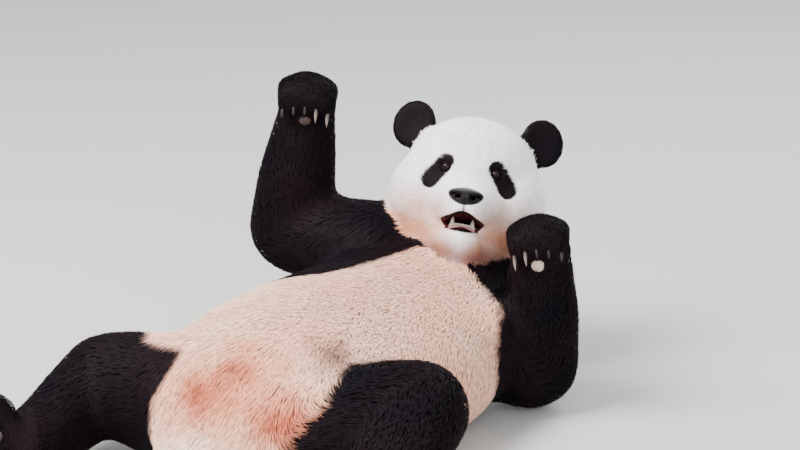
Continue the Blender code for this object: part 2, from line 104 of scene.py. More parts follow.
# Places in the head's frame: x to the animal's left, y to the back of the head, z up.
EYE_AT = Vector((0.0500, -0.1000, 0.024))
EYE_RADIUS = 0.0112
EYE_SUNK = 0.0050  # how far the eyeball's centre lies behind the solid's
EYE_FACING = Vector((0.36, -0.93, 0.04))
EYE_SLIT = (0.0100, 0.0054)  # half width and half height of the opening between the lids
LID_REACH = (0.0210, 0.0185)  # half sizes of the skin that the lids take up
LID_POINTS = 40  # round each eye's slit
LID_RINGS = (-0.06, 0.0, 0.05, 0.12, 0.25, 0.40, 0.60, 0.80, 1.0)  # from the slit to the edge
LID_THICKNESS = ((-0.06, 0.0, 0.05, 0.25), (-0.0010, 0.0002, 0.0012, 0.0016))  # by ring
LID_CREASE = 0.0007  # depth of the fold over the eye
LID_DIP = 0.0022  # how far the lids' outer edge goes below the skin
LID_GAP = 0.007  # how far the skin is sunk under them
BARE_LIDS = (0.0122, 0.0088)  # half sizes of what stays bare round each eye
BARE_ZONE = 0.03  # how far in or out of an eye or a pad skin still counts as being at it
NOSE_AT = Vector((0, -0.170, -0.041))
NOSE_HALF = (0.036, 0.020, 0.0195)
NOSE_BACK = 0.0018  # how far the leather lies behind its solid
# On the front of the nose, as a unit ball: place across and up, half sizes, lean.
NOSTRIL = (0.41, -0.08, 0.195, 0.290, 0)
NOSTRIL_TAIL = (0.68, 0.10, 0.200, 0.150, 0.5)
NOSE_WING = (0.48, -0.06, 0.30, 0.42, 0)
NOSE_POCKET, NOSE_SEAM = 0.024, 0.0016  # how far the skin is sunk behind the nose and round it
GROOVE_WIDTH, GROOVE_DEPTH = 0.0018, 0.0014  # of the groove from the nose to the lip
MOUTH_Y = (-0.215, -0.150, -0.115, -0.085, -0.062)
MOUTH_Z = (-0.0860, -0.0855, -0.0840, -0.0830, -0.0820)
MOUTH_HALF_WIDTH = (0.058, 0.055, 0.047, 0.036, 0.024)
MOUTH_HALF_HEIGHT = (0.0150, 0.0135, 0.0115, 0.0095, 0.0075)
GUMS_AT, GUMS_HALF = (0, -0.085, -0.0780), (0.034, 0.045, 0.0215)  # the room that the gums take up
LIP_ARCH = (0.0035, 0.012)  # how far the upper lip rises in the middle, and over what width
LIP_HANG = (0.0060, 0.034, 0.014)  # how far it hangs beside that, where, over what width
LIP_RISE = (0.0040, 0.036)  # how far the lower lip rises, and over what width
LOWER_LIP = (0, -0.128, -0.074)  # what the chin's hair points away from
LOWER_LIP_SHARE = 2.05  # how much further down the bare lip reaches than the opening
EAR_ROOT = (0.108, 0.030, 0.085)
EYE_PATCH = ((0.049, 0.031), (0.0745, -0.005))  # ends of the line each patch lies along, in x and z
PATCH_HALF_WIDTH = (0.0164, 0.0190)  # at the two ends
ARCH_HALF_WIDTH, ARCH_BACK, ARCH_LENGTH = 0.027, -0.092, 0.036
# Teeth: (height of the gum, which way they stand, canines' spread, radius and length,
# incisors' length, how far the arch is drawn back).
TEETH = {
    "upper_teeth": (-0.0610, -1, 0.0240, 0.0038, 0.0095, 0.0050, 0.012),
    "lower_teeth": (-0.0955, 1, 0.0200, 0.0050, 0.0210, 0.0075, 0.011),
}
GUM_HALF = (0.0050, 0.0044)  # half width and half depth of the gum's ridge
TOOTH_FOOT = 0.0015  # how far out of the gum's middle the teeth begin
CANINE_LEAN, INCISOR_SPACING = 0.0035, 0.0054
# Along a crown: share of its length, share of its width.
CANINE_FORM = ((0, 0.92), (0.25, 1.0), (0.5, 0.84), (0.75, 0.56), (0.92, 0.28), (1, 0.06))
INCISOR_FORM = ((0, 0.92), (0.3, 1.0), (0.6, 0.98), (0.82, 0.84), (0.95, 0.55), (1, 0.15))
TONGUE_GROOVE = (0.0014, 0.0022)  # depth and half width
TONGUE = [
    (0, -0.074, -0.0925, 0.0130, 0.0046),
    (0, -0.088, -0.0925, 0.0155, 0.0050),
    (0, -0.101, -0.0930, 0.0155, 0.0050),
    (0, -0.111, -0.0935, 0.0125, 0.0044),
]

# Colours, as linear red, green and blue.
WHITE = (0.92, 0.875, 0.885)
CHEEK = (0.62, 0.27, 0.155)
# The chin's brown stain, darkened as painted shade where the chin turns under.
CHIN_STAIN_AND_SHADE = (0.24, 0.105, 0.080)
CREAM = (0.92, 0.575, 0.41)
PINK = (0.88, 0.40, 0.27)
ORANGE = (0.74, 0.25, 0.125)
RUST = (0.40, 0.065, 0.026)
# Painted shade in the fold between the belly and the left thigh.
FOLD_SHADE_BROWN = (0.20, 0.085, 0.060)
BLACK = (0.0036, 0.0026, 0.0046)
BROWN_BLACK = (0.0110, 0.0052, 0.0068)
LIP = (0.008, 0.005, 0.006)
# The inside of the mouth: red, darkened as painted shade of the cavity.
MOUTH_RED_IN_SHADE = (0.055, 0.010, 0.012)
GUM = (0.50, 0.235, 0.215)
IVORY = (0.80, 0.72, 0.56)
TONGUE_PINK = (0.46, 0.17, 0.16)
# Painted shade: the horn of the claws that stay hidden, at root and tip, darkened as if in shadow.
SHADED_HORN_ROOT, SHADED_HORN_TIP = (0.008, 0.006, 0.007), (0.024, 0.018, 0.018)
HORN_ROOT = (0.050, 0.034, 0.030)
HORN_TIP = (0.50, 0.41, 0.37)
LEATHER = (0.006, 0.005, 0.007)
# Painted reflection: the lighter grey of the nose's top, standing for the sky on its leather; the
# line from the nose to the lip takes this grey too.
NOSE_REFLECTION_AND_LINE_GREY = (0.075, 0.066, 0.076)
PUPIL, IRIS, IRIS_RIM = (0.002, 0.002, 0.002), (0.015, 0.007, 0.005), (0.006, 0.004, 0.004)
EYE_WHITE = (0.05, 0.035, 0.03)
PAD_PALE = (0.52, 0.40, 0.36)
PAD_DARK = (0.055, 0.036, 0.034)
FLOOR_GREY, SKY = (0.50, 0.49, 0.47), (0.92, 0.96, 1.0)
# Stains of the belly and the groin, and in the last row the painted shade of the fold between the
# belly and the left thigh: place in the modelling axes, reach, strength, colour.
BELLY_TINTS = [
    ((-0.062, -0.411, 0.226), 0.060, 0.6, PINK),
    ((-0.010, -0.412, 0.235), 0.074, 0.9, ORANGE),
    ((0.030, -0.352, 0.272), 0.060, 0.8, ORANGE),
    ((0.066, -0.378, 0.255), 0.056, 0.7, ORANGE),
    ((0.150, -0.385, 0.202), 0.076, 0.9, ORANGE),
    ((-0.014, -0.410, 0.235), 0.036, 1.0, RUST),
    ((0.022, -0.362, 0.268), 0.028, 0.9, RUST),
    ((0.150, -0.388, 0.202), 0.042, 1.0, RUST),
    # Painted shade in the fold between the belly and the left thigh.
    ((0.140, -0.215, 0.268), 0.044, 0.9, FOLD_SHADE_BROWN),
]
# Where the black begins on the trunk and the thighs, seen from above: lines in x and y with
# the black on their left.  The shoulders' line differs between the belly's side and the back.
RIGHT_HIP = [(-0.126, -0.60), (-0.126, -0.412), (-0.104, -0.380), (-0.104, -0.330), (-0.21, -0.305),
             (-0.30, -0.200), (-0.40, -0.02)]
LEFT_HIP = [(0.40, 0.00), (0.260, -0.060), (0.200, -0.120), (0.163, -0.214), (0.172, -0.280),
            (0.179, -0.327), (0.168, -0.364), (0.150, -0.400), (0.110, -0.620)]
SHOULDERS_FRONT = [(-0.40, 0.000), (-0.160, 0.020), (-0.085, 0.050), (-0.058, 0.130),
                   (-0.032, 0.238), (0.000, 0.285), (0.100, 0.300), (0.190, 0.255),
                   (0.225, 0.190), (0.262, 0.120), (0.40, 0.060)]
SHOULDERS_BACK = [(-0.40, 0.090), (-0.15, 0.170), (0.00, 0.200), (0.15, 0.185), (0.40, 0.130)]

# The source's modelling axes: the head's centre there, and the limbs' joints (shoulder or
# hip, elbow or knee, wrist or ankle).  MOVED, below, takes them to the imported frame.
HEAD_CENTRE = Vector((0.005, 0.443, 0.390))
LIMBS = {
    "arm_left": [(0.135, 0.235, 0.150), (0.225, 0.342, 0.080), (0.246, 0.325, 0.325)],
    "arm_right": [(-0.135, 0.335, 0.262), (-0.345, 0.300, 0.284), (-0.306, 0.320, 0.543)],
    "leg_left": [(0.100, -0.300, 0.115), (0.270, -0.140, 0.168), (0.335, -0.370, 0.078)],
    "leg_right": [(-0.115, -0.290, 0.145), (-0.350, -0.270, 0.140), (-0.345, -0.500, 0.078)],
}
BONE_NAMES = {"arm": ("upper_arm", "forearm", "forepaw"), "leg": ("thigh", "shank", "hindfoot")}
CURL_AT = {"arm": (0.034, 0, 0.036), "leg": (0.060, 0, 0.110)}  # what the digits curl about
PAWS = {
    "arm_left": ((-0.08, -0.12, 1.0), (0.40, -0.90, 0.10)),
    "arm_right": ((0.18, -0.12, 1.0), (0.52, -0.84, 0.10)),
    "leg_left": ((0.60, -0.30, 0.66), (-0.10, -0.95, -0.25)),
    "leg_right": ((-0.58, -0.34, 0.66), (0.10, -0.95, -0.25)),
}

# Bare pads: limb, place in the paw's frame (along it, across it), half sizes, how much they
# rise, colour.
PADS = [
    ("arm_left", (0.000, 0.004), (0.0150, 0.0140), 0.0074, PAD_PALE),
    ("arm_right", (0.004, 0.000), (0.0130, 0.0140), 0.0070, PAD_DARK),
    ("leg_left", (0.062, 0.000), (0.0150, 0.0360), 0.0052, PAD_DARK),
    ("leg_right", (0.062, 0.000), (0.0150, 0.0360), 0.0052, PAD_DARK),
]
TOE_PAD = (0.0085, 0.0080)
PAD_CLEAR = 0.010  # how far up the coat's lie the hair stays clear of a pad
TOE_ALONG, TOE_SPACING, TOE_BOW = 0.128, 0.0225, 0.003
# The other claws are also painted dark, as shade.
SHOWN_CLAWS = 2  # of a forepaw's five: the others are short and dark
HIDDEN_CUT = 8  # rows of 16 that they lose at the tip
CLAW_BURIED = 0.006  # how far a claw's root goes on under the coat
CLAW_SECTION = (0.86, 1.15)  # its width and depth beside its solid's

# The coat by region: depth over the skin, length and width of a tuft, layers of tufts that
# cover each place, and passes of smoothing that the skin gets.
DEPTH, LENGTH, WIDTH, LAYERS, PASSES = range(5)
COAT = {
    "trunk": (0.0105, 0.032, 0.0020, 2.9, 150),
    "neck": (0.0110, 0.030, 0.0020, 1.3, 110),
    "upper_arm": (0.0110, 0.028, 0.0020, 1.4, 110),
    "forearm": (0.0105, 0.025, 0.0019, 1.5, 90),
    "forepaw": (0.0090, 0.019, 0.0016, 2.2, 40),
    "thigh": (0.0110, 0.030, 0.0020, 1.5, 120),
    "shank": (0.0105, 0.027, 0.0020, 1.5, 90),
    "hindfoot": (0.0085, 0.018, 0.0016, 2.0, 25),
    "tail": (0.0120, 0.034, 0.0020, 2.4, 15),
    "ear": (0.0062, 0.013, 0.0011, 2.5, 8),
    "head": (0.0100, 0.024, 0.0016, 3.3, 14),
    "jaw": (0.0080, 0.016, 0.0013, 3.0, 12),
}
# The first three on the head and the jaw, by distance from the nose.
FACE_REACH = (0.020, 0.055, 0.100, 0.150, 0.230)
FACE_COAT = {
    DEPTH: (0.0014, 0.0028, 0.0048, 0.0080, 0.0105),
    LENGTH: (0.0032, 0.0060, 0.0100, 0.0165, 0.0225),
    WIDTH: (0.0006, 0.0008, 0.0010, 0.0012, 0.0015),
}


# ---------------------------------------------------------------- small helpers
def unit(vectors):
    return vectors / np.maximum(np.linalg.norm(vectors, axis=-1, keepdims=True), 1e-9)


def step(low, high, value):
    """0 below low, 1 above high, smooth between them."""
    t = np.clip((value - low) / (high - low), 0, 1)
    return t * t * (3 - 2 * t)


def bell(off, width):
    """1 where off is 0, falling away smoothly over the width on both sides."""
    return np.exp(-((off / width) ** 2))


def mixed(a, b, share):
    """Rows of colours between a and b, each a colour or rows of them."""
    a, b = np.asarray(a), np.asarray(b)
    return a + (b - a) * share[..., None]


def add_object(name, data):
    obj = bpy.data.objects.new(name, data)
    bpy.context.scene.collection.objects.link(obj)
    return obj


def placed(obj, look, slot, *stood_for):
    """Gives a piece its material and what it rides on, and hides the solids that it stands for. The
    slot is not used.
    """
    obj.data.materials.append(look)
    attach(obj, "root")
    if stood_for:
        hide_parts(*stood_for)


def mesh_of(name, bm):
    """Turns a bmesh into a smooth mesh; its faces keep the way that they point."""
    mesh = bpy.data.meshes.new(name)
    bm.to_mesh(mesh)
    bm.free()
    mesh.shade_smooth()
    return mesh


def modified(obj, kind, **settings):
    """The object's mesh after one modifier; the object goes."""
    modifier = obj.modifiers.new(kind, kind)
    for name, value in settings.items():
        setattr(modifier, name, value)
    graph = bpy.context.evaluated_depsgraph_get()
    made = bpy.data.meshes.new_from_object(obj.evaluated_get(graph))
    bpy.data.objects.remove(obj)
    return made


def read(elements, name, width, kind=np.float32):
    """One property of all elements of a mesh, as rows of so many numbers."""
    flat = np.empty(len(elements) * width, kind)
    elements.foreach_get(name, flat)
    return flat.reshape(-1, width)


def write(elements, name, rows, kind=np.float32):
    elements.foreach_set(name, rows.astype(kind).ravel())


def points_of(mesh):
    return read(mesh.vertices, "co", 3).astype(float)


def normals_of(mesh):
    return read(mesh.vertex_normals, "vector", 3).astype(float)


def corners_of(mesh):
    """The three vertices of each triangle."""
    return read(mesh.loops, "vertex_index", 1, np.int32).reshape(-1, 3)


def set_points(mesh, points):
    write(mesh.vertices, "co", points)
    mesh.update()


def paint(mesh, colours):
    """Stores one linear colour for each vertex, which the materials read."""
    colours = np.concatenate([np.clip(colours, 0, 1), np.ones((len(colours), 1))], axis=1)
    layer = mesh.color_attributes.new("coat", "FLOAT_COLOR", "POINT")
    write(layer.data, "color", colours)


def bmesh_of(mesh):
    bm = bmesh.new()
    bm.from_mesh(mesh)
    return bm


def nearest(places, points):
    """Which of the places is nearest to each point."""
    tree = KDTree(len(places))
    for number, place in enumerate(places):
        tree.insert(place, number)
    tree.balance()
    return np.array([tree.find(p)[1] for p in points])


class Net:
    """The edges of a mesh, to average values along them."""

    def __init__(self, mesh):
        edges = read(mesh.edges, "vertices", 2, np.int32)
        self.size = len(mesh.vertices)
        self.here = np.concatenate([edges[:, 0], edges[:, 1]])
        self.there = np.concatenate([edges[:, 1], edges[:, 0]])
        self.degree = np.maximum(np.bincount(self.here, minlength=self.size), 1)

    def mean(self, values):
        if values.ndim == 1:
            total = np.bincount(self.here, values[self.there], self.size)
            return total / self.degree
        columns = [self.mean(values[:, k]) for k in range(values.shape[1])]
        return np.stack(columns, axis=1)

    def smoothed(self, values, passes):
        for _ in range(passes):
            values = values + (self.mean(values) - values) * 0.5
        return values


def noise_at(points, scale, seed):
    """Smooth noise from -1 to 1 at each point; scale is the size of its features."""
    offset = Vector((seed, seed * 0.7, seed * 1.3))
    return np.array([noise.noise(Vector(p) / scale + offset) for p in points])


# ---------------------------------------------------------------- the solids
INLAID = ("eye", "nose", "upper_teeth", "lower_teeth", "tongue", "claw")
FLESH = sorted(name for name in NODES if not name.startswith(INLAID))
REGION = [name.replace("_left", "").replace("_right", "") for name in FLESH]


def owned_by(owners, *names):
    """Where the number in FLESH is that of one of these solids."""
    return np.isin(owners, [FLESH.index(name) for name in names])


def node_centre(name):
    low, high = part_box(name)
    return (low + high) / 2


def welded(name):
    """A solid as a bmesh, with the corners merged that the file keeps apart."""
    bm = bmesh_of(NODES[name].data)
    bmesh.ops.remove_doubles(bm, verts=bm.verts, dist=1e-6)
    return bm


# ---------------------------------------------------------------- frames
def squared(vector, axis):
    """The part of a vector that is square to a unit axis, one long."""
    return (vector - vector.dot(axis) * axis).normalized()


def frame_of(place, x, y, z):
    return Matrix.Translation(place) @ Matrix((x, y, z)).transposed().to_4x4()


def on_side(place, side):
    """A place that is given for the left, on the left (1) or the right (-1)."""
    return Vector((side * place[0], *place[1:]))


def head_frame():
    """Head frame to world, from the solids of the eyes and the nose."""
    left, right, nose = (node_centre(name) for name in ("eye_left", "eye_right", "nose"))
    across = (left - right).normalized()
    down = squared(nose - (left + right) / 2, across)
    angle = math.atan2(NOSE_AT.z - EYE_AT.z, NOSE_AT.y - EYE_AT.y)
    back = Matrix.Rotation(-angle, 3, across) @ down
    turn = Matrix((across, back, across.cross(back))).transposed()
    middle = Vector((0, EYE_AT.y, EYE_AT.z))
    return Matrix.Translation((left + right) / 2 - turn @ middle) @ turn.to_4x4()


HEAD = head_frame()
HEAD_TURN = np.array(HEAD.to_3x3())
MOVED = HEAD.translation - HEAD_CENTRE


def in_frame(points, matrix):
    """Points in the coordinates of a frame, given its matrix to the world."""
    return (points - np.array(matrix.translation)) @ np.array(matrix.to_3x3())


def in_head(points):
    return in_frame(points, HEAD)


def nose_reach(heads, half=NOSE_HALF):
    """How far out of the nose each place is, in its half sizes: 1 on its surface."""
    return np.linalg.norm((heads - np.array(NOSE_AT)) / half, axis=1)


def lip_shift(heads):
    """How far up the lips lie of the solids' edge: the upper one arched, the lower one raised."""
    x, y, z = heads.T
    height, high = (np.interp(y, MOUTH_Y, row) for row in (MOUTH_Z, MOUTH_HALF_HEIGHT))
    upper = bell(z - height - high * 0.8, 0.010)
    lower = bell(z - height + high * 1.6, 0.012)
    arch = LIP_ARCH[0] * bell(np.abs(x), LIP_ARCH[1])
    hang = LIP_HANG[0] * bell(np.abs(x) - LIP_HANG[1], LIP_HANG[2])
    rise = LIP_RISE[0] * bell(np.abs(x), LIP_RISE[1])
    return step(-0.090, -0.108, y) * (upper * (arch - hang) + lower * rise)


def mouth_reach(heads, on_face=True, lip=1.0):
    """How far out of the mouth's opening each place is: 1 on its wall, less inside it.

    A lip over 1 makes the lower half that much higher.  Off the face it is 9.
    """
    x, y, z = heads.T
    rows = (MOUTH_Z, MOUTH_HALF_WIDTH, MOUTH_HALF_HEIGHT)
    height, wide, high = (np.interp(y, MOUTH_Y, row) for row in rows)
    up = z - height - lip_shift(heads)
    reach = np.hypot(x / wide, up / np.where(up < 0, high * lip, high))
    reach = reach + 3 * step(MOUTH_Y[-1], MOUTH_Y[-1] + 0.012, y)
    gums = (np.abs(heads - GUMS_AT) < GUMS_HALF).all(axis=1)
    return np.where(on_face, np.where(gums, np.minimum(reach, 0.9), reach), 9.0)


def bare_lips(heads, normals, owners):
    """1 on the lips and in the mouth, where no hair grows; 0 elsewhere."""
    reach = mouth_reach(heads, owned_by(owners, "head", "jaw"), LOWER_LIP_SHARE)
    facing = -(normals @ HEAD_TURN)[:, 1]
    turned_in = (1 - step(0.00, 0.20, facing)) * (reach < 1.4)
    return np.maximum(1 - step(0.95, 1.04, reach), turned_in)


def eye_frame(side):
    """Eye frame to world: x outwards along the slit, y up, z out of the head; at its centre."""
    facing = on_side(EYE_FACING, side).normalized()
    up = squared(Vector((0, 0, 1)), facing)
    place = on_side(EYE_AT, side) - facing * EYE_SUNK
    return HEAD @ frame_of(place, up.cross(facing), up, facing)


def paw_frame(limb):
    """Paw frame to world: x along the paw from the wrist, y across it, z towards the palm."""
    along, palm = (Vector(way).normalized() for way in PAWS[limb])
    palm = squared(palm, along)
    return frame_of(Vector(LIMBS[limb][2]) + MOVED, along, palm.cross(along), palm)


# ---------------------------------------------------------------- the skin
def fused_flesh():
    """The flesh, the nose and the eyes as one closed surface."""
    whole = bmesh.new()
    for name in [*FLESH, "eye_left", "eye_right", "nose"]:
        bm = welded(name)
        bm.normal_update()
        for vertex, place in [(v, v.co + v.normal * GROW) for v in bm.verts]:
            vertex.co = place
        whole.from_mesh(mesh_of("grown", bm))
    flesh = add_object("flesh", mesh_of("flesh", whole))
    return without_pockets(modified(flesh, "REMESH", mode="VOXEL", voxel_size=VOXEL))


def without_pockets(mesh):
    """Its largest connected part: small closed pockets are left between the solids."""
    bm = bmesh_of(mesh)
    unseen = set(bm.verts)
    parts = []
    while unseen:
        ahead, part = [unseen.pop()], []
        while ahead:
            vertex = ahead.pop()
            part.append(vertex)
            beside = {edge.other_vert(vertex) for edge in vertex.link_edges} & unseen
            unseen -= beside
            ahead += beside
        parts.append(part)
    for part in sorted(parts, key=len)[:-1]:
        bmesh.ops.delete(bm, geom=part, context="VERTS")
    return mesh_of("flesh", bm)


def nearest_nodes(points):
    """The number in FLESH of the solid nearest to each point."""
    places, faces, owners = [], [], []
    for number, name in enumerate(FLESH):
        bm = welded(name)
        start = len(places)
        places += [v.co.copy() for v in bm.verts]
        faces += [[start + v.index for v in face.verts] for face in bm.faces]
        owners += [number] * len(bm.faces)
        bm.free()
    tree = BVHTree.FromPolygons(places, faces)
    return np.array([owners[tree.find_nearest(p)[2]] for p in points])


def coat_values(owners, heads):
    """The columns of COAT at each place."""
    values = np.array([COAT[region] for region in REGION], float)[owners]
    on_face = owned_by(owners, "head", "jaw")
    far = nose_reach(heads, 1)
    for column, row in FACE_COAT.items():
        values[on_face, column] = np.interp(far[on_face], FACE_REACH, row)
    return values


def reduced(mesh, kept):
    """The mesh with fewer triangles where kept is low; kept runs from 0 to 1."""
    obj = add_object("skin", mesh)
    group = obj.vertex_groups.new(name="spare")
    levels = np.round((1 - kept) * 10).astype(int)
    for level in range(1, 11):
        group.add(np.nonzero(levels == level)[0].tolist(), level / 10, "REPLACE")
    return modified(
        obj,
        "DECIMATE",
        ratio=SKIN_TRIANGLES / (2 * len(mesh.polygons)),
        vertex_group="spare",
        vertex_group_factor=100,
        use_collapse_triangulate=True,
    )


def finer(mesh, wanted):
    """Splits the triangles whose corners are all wanted into four."""
    bm = bmesh_of(mesh)
    edges = {edge for f in bm.faces if all(wanted[v.index] for v in f.verts) for edge in f.edges}
    bmesh.ops.subdivide_edges(bm, edges=list(edges), cuts=1, use_grid_fill=True)
    bmesh.ops.triangulate(bm, faces=bm.faces)
    return mesh_of("finer", bm)


def ray_down(tree, matrix, x, y, start):
    """Where the skin is below a place (x, y, start) of a frame whose z points out of it."""
    down = -(matrix.to_3x3() @ Vector((0, 0, 1)))
    return tree.ray_cast(matrix @ Vector((x, y, start)), down)


def add_lids(bm, tree, side):
    """Skin that closes round an eye: it turns in at the slit and runs out under the cheek."""
    matrix = eye_frame(side)
    rings = []
    for t in LID_RINGS:
        ring = []
        for k in range(LID_POINTS):
            angle = 2 * math.pi * k / LID_POINTS
            x = math.cos(angle) * (EYE_SLIT[0] + (LID_REACH[0] - EYE_SLIT[0]) * t)
            y = math.sin(angle) * (EYE_SLIT[1] + (LID_REACH[1] - EYE_SLIT[1]) * t)
            thick = np.interp(t, *LID_THICKNESS)
            high = math.sqrt(max((EYE_RADIUS + thick) ** 2 - x**2 - y**2, 0.0))
            ground = (matrix.inverted() @ ray_down(tree, matrix, x, y, 0.08)[0]).z
            share = float(step(0.05, 0.9, t))
            crease = LID_CREASE * bell(t - 0.40, 0.07) * (math.sin(angle) > 0)
            z = high + (ground - high) * share - crease - LID_DIP * max(t, 0) ** 6
            ring.append(bm.verts.new(matrix @ Vector((x, y, z))))
        rings.append(ring)
    for inner, outer in zip(rings, rings[1:]):
        for k in range(LID_POINTS):
            after = (k + 1) % LID_POINTS
            bm.faces.new((inner[k], outer[k], outer[after], inner[after]))


def with_lids(mesh):
    """The skin sunk round the eyes, with the lids laid over the gap."""
    points = points_of(mesh)
    bm = bmesh_of(mesh)
    tree = BVHTree.FromBMesh(bm)
    for side in (1, -1):
        local = in_frame(points, eye_frame(side))
        reach = np.hypot(local[:, 0] / LID_REACH[0], local[:, 1] / LID_REACH[1])
        sunk = (1 - step(0.55, 0.90, reach)) * (local[:, 2] > -BARE_ZONE) * LID_GAP
        points = points - np.array(eye_frame(side).col[2].xyz) * sunk[:, None]
    for vertex, place in zip(bm.verts, points):
        vertex.co = place
    for side in (1, -1):
        add_lids(bm, tree, side)
    bmesh.ops.triangulate(bm, faces=bm.faces)
    return mesh_of("lidded", bm)


def nose_and_lip(points, heads):
    """Sinks the skin a little under the nose, and draws the groove below it."""
    x, y, z = heads.T
    flat = np.hypot(x / NOSE_HALF[0], (z - NOSE_AT.z) / NOSE_HALF[2])
    behind = (1 - step(0.75, 0.95, flat)) * (y < -0.15) * NOSE_POCKET
    under = (1 - step(1.0, 1.35, nose_reach(heads))) * NOSE_SEAM + behind
    groove = bell(x, GROOVE_WIDTH) * step(-0.088, -0.076, z)
    groove *= (1 - step(-0.052, -0.044, z)) * (y < -0.12) * GROOVE_DEPTH
    moved = points + HEAD_TURN[:, 1] * (under + groove)[:, None]
    return moved + HEAD_TURN[:, 2] * lip_shift(heads)[:, None]


def skin_mesh():
    """The skin, and for each of its vertices the nearest solid and the coat's values."""
    mesh = fused_flesh()
    net = Net(mesh)
    points = points_of(mesh)
    owners = nearest_nodes(points)
    heads = in_head(points)
    values = net.smoothed(coat_values(owners, heads), 8)
    on_face = owned_by(owners, "head", "jaw")
    mouth = mouth_reach(heads, on_face, LOWER_LIP_SHARE)
    passes = values[:, PASSES] * np.where(mouth < 1.5, 0.4, 1.0)
    for count in range(int(passes.max())):
        moving = np.where(passes > count, 0.5, 0.0)[:, None]
        points = points + (net.mean(points) - points) * moving
    set_points(mesh, points)
    full = step(1.00, 1.9, mouth)
    for column, least in ((DEPTH, 0), (LENGTH, 0.45), (WIDTH, 0.70)):
        values[:, column] *= least + (1 - least) * full
    points = points - normals_of(mesh) * values[:, DEPTH, None]
    set_points(mesh, points)
    kept = np.where(on_face, 1 - 0.7 * step(0.10, 0.17, nose_reach(in_head(points), 1)), 0.0)
    kept[owned_by(owners, *PAW_NAMES)] = 0.4
    mesh = reduced(mesh, kept)
    mesh = finer(mesh, face_part(points_of(mesh)))
    set_points(mesh, nose_and_lip(points_of(mesh), in_head(points_of(mesh))))
    mesh = with_lids(mesh)
    source = nearest(points, points_of(mesh))
    return mesh, owners[source], values[source]


def face_part(points):
    """True round the mouth and the eyes, where the skin is finest."""
    heads = in_head(points)
    part = (mouth_reach(heads) < 1.8) & (heads[:, 1] > -0.2)
    for side in (1, -1):
        part |= np.linalg.norm(heads - np.array(on_side(EYE_AT, side)), axis=1) < 0.024
    return part


# ---------------------------------------------------------------- the lie of the coat
def lie_of_coat(points, normals, owners, net):
    """The way that the hair points at each place of the skin, along its surface."""
    ways = np.zeros_like(points)
    heads = in_head(points)
    trunk = owned_by(owners, "trunk")
    ways[trunk] = (0.0, -1.0, -0.30)
    ways[trunk, 0] = points[trunk, 0] * 1.5
    ways[owned_by(owners, "neck")] = (0.0, -0.8, -0.6)
    ways[owned_by(owners, "tail")] = (0.05, -1.0, -0.25)
    for limb, joints in LIMBS.items():
        kind, side = limb.split("_")
        start, bend, end = (Vector(joint) for joint in joints)
        upper, lower, paw = (owned_by(owners, f"{bone}_{side}") for bone in BONE_NAMES[kind])
        ways[upper] = (bend - start).normalized()
        ways[lower] = (end - bend).normalized()
        matrix = paw_frame(limb)
        curl = np.array(matrix @ Vector(CURL_AT[kind]))
        across = np.array(matrix.to_3x3() @ Vector((0, -1, 0)))
        ways[paw] = np.cross(across, unit(points[paw] - curl))
    fans = {"head": heads - np.array(NOSE_AT) + (0, 0.02, 0), "jaw": heads - LOWER_LIP}
    fans["head"] += np.array((0, 0.1, -0.5)) * step(0.02, 0.12, heads[:, 1])[:, None]
    for name, side in SIDES:
        fans[f"ear_{name}"] = heads - np.array(on_side(EAR_ROOT, side))
    for name, fan in fans.items():
        chosen = owned_by(owners, name)
        ways[chosen] = unit(fan[chosen]) @ HEAD_TURN.T
    ways = net.smoothed(ways, 14)
    ways -= normals * np.sum(ways * normals, axis=1, keepdims=True)
    return unit(ways)


# ---------------------------------------------------------------- markings
def black_solids(owners):
    """1 on the solids that carry black hair."""
    black = [name not in ("trunk", "head", "jaw", "tail") for name in FLESH]
    return np.array(black, float)[owners]


def off_line(flat, start, end):
    """How far each place is from a straight line, and its share of the way along it."""
    way = end - start
    share = np.clip((flat - start) @ way / (way @ way), 0, 1)
    return np.linalg.norm(flat - start - share[:, None] * way, axis=1), share


def patch_edge(heads, side):
    """How far a place on the face is out of one eye patch; less than 0 inside it."""
    start, end = (np.array((side * x, z)) for x, z in EYE_PATCH)
    far, share = off_line(heads[:, (0, 2)], start, end)
    return far - np.interp(share, (0, 1), PATCH_HALF_WIDTH)


def left_of(points, line):
    """How far each place is on the left of a line, seen from above; less than 0 right of it."""
    best = np.full(len(points), 9.0)
    signed = np.zeros(len(points))
    flat = points[:, :2]
    for start, end in zip(np.array(line)[:-1], np.array(line)[1:]):
        far, _ = off_line(flat, start, end)
        (long_x, long_y), (x, y) = end - start, (flat - start).T
        signed = np.where(far < best, np.sign(long_x * y - long_y * x) * far, signed)
        best = np.minimum(best, far)
    return signed


def black_share(points, owners, dark):
    """How black the coat is at each place of the body, eye patches aside."""
    at = points - np.array(MOVED)
    ragged = noise_at(points, 0.022, 3.0) * 0.007 + noise_at(points, 0.006, 9.0) * 0.004
    front = step(0.08, 0.20, at[:, 2])
    shoulders = left_of(at, SHOULDERS_FRONT) * front + left_of(at, SHOULDERS_BACK) * (1 - front)
    hips = np.maximum(left_of(at, RIGHT_HIP), left_of(at, LEFT_HIP))
    body = owned_by(owners, "trunk", "thigh_left", "thigh_right")
    edge = np.where(at[:, 1] > 0, shoulders, hips)
    own = np.maximum(step(0.42, 0.58, dark + ragged * 14), black_solids(owners))
    return np.where(body, step(-0.010, 0.010, edge + ragged), own)


def body_colours(at, fine, broad, patchy):
    """Cream and pink, with the stains of the belly and the painted shade of the fold by the left
    thigh.
    """
    colour = mixed(CREAM, PINK, np.clip(0.40 + 0.55 * broad, 0, 1))
    for place, reach, strength, tint in BELLY_TINTS:
        far = np.linalg.norm(at - place, axis=1)
        share = strength * bell(far * (1 + 0.4 * patchy), reach) * (1 + 0.25 * fine)
        colour = mixed(colour, tint, np.clip(share, 0, 1))
    return colour


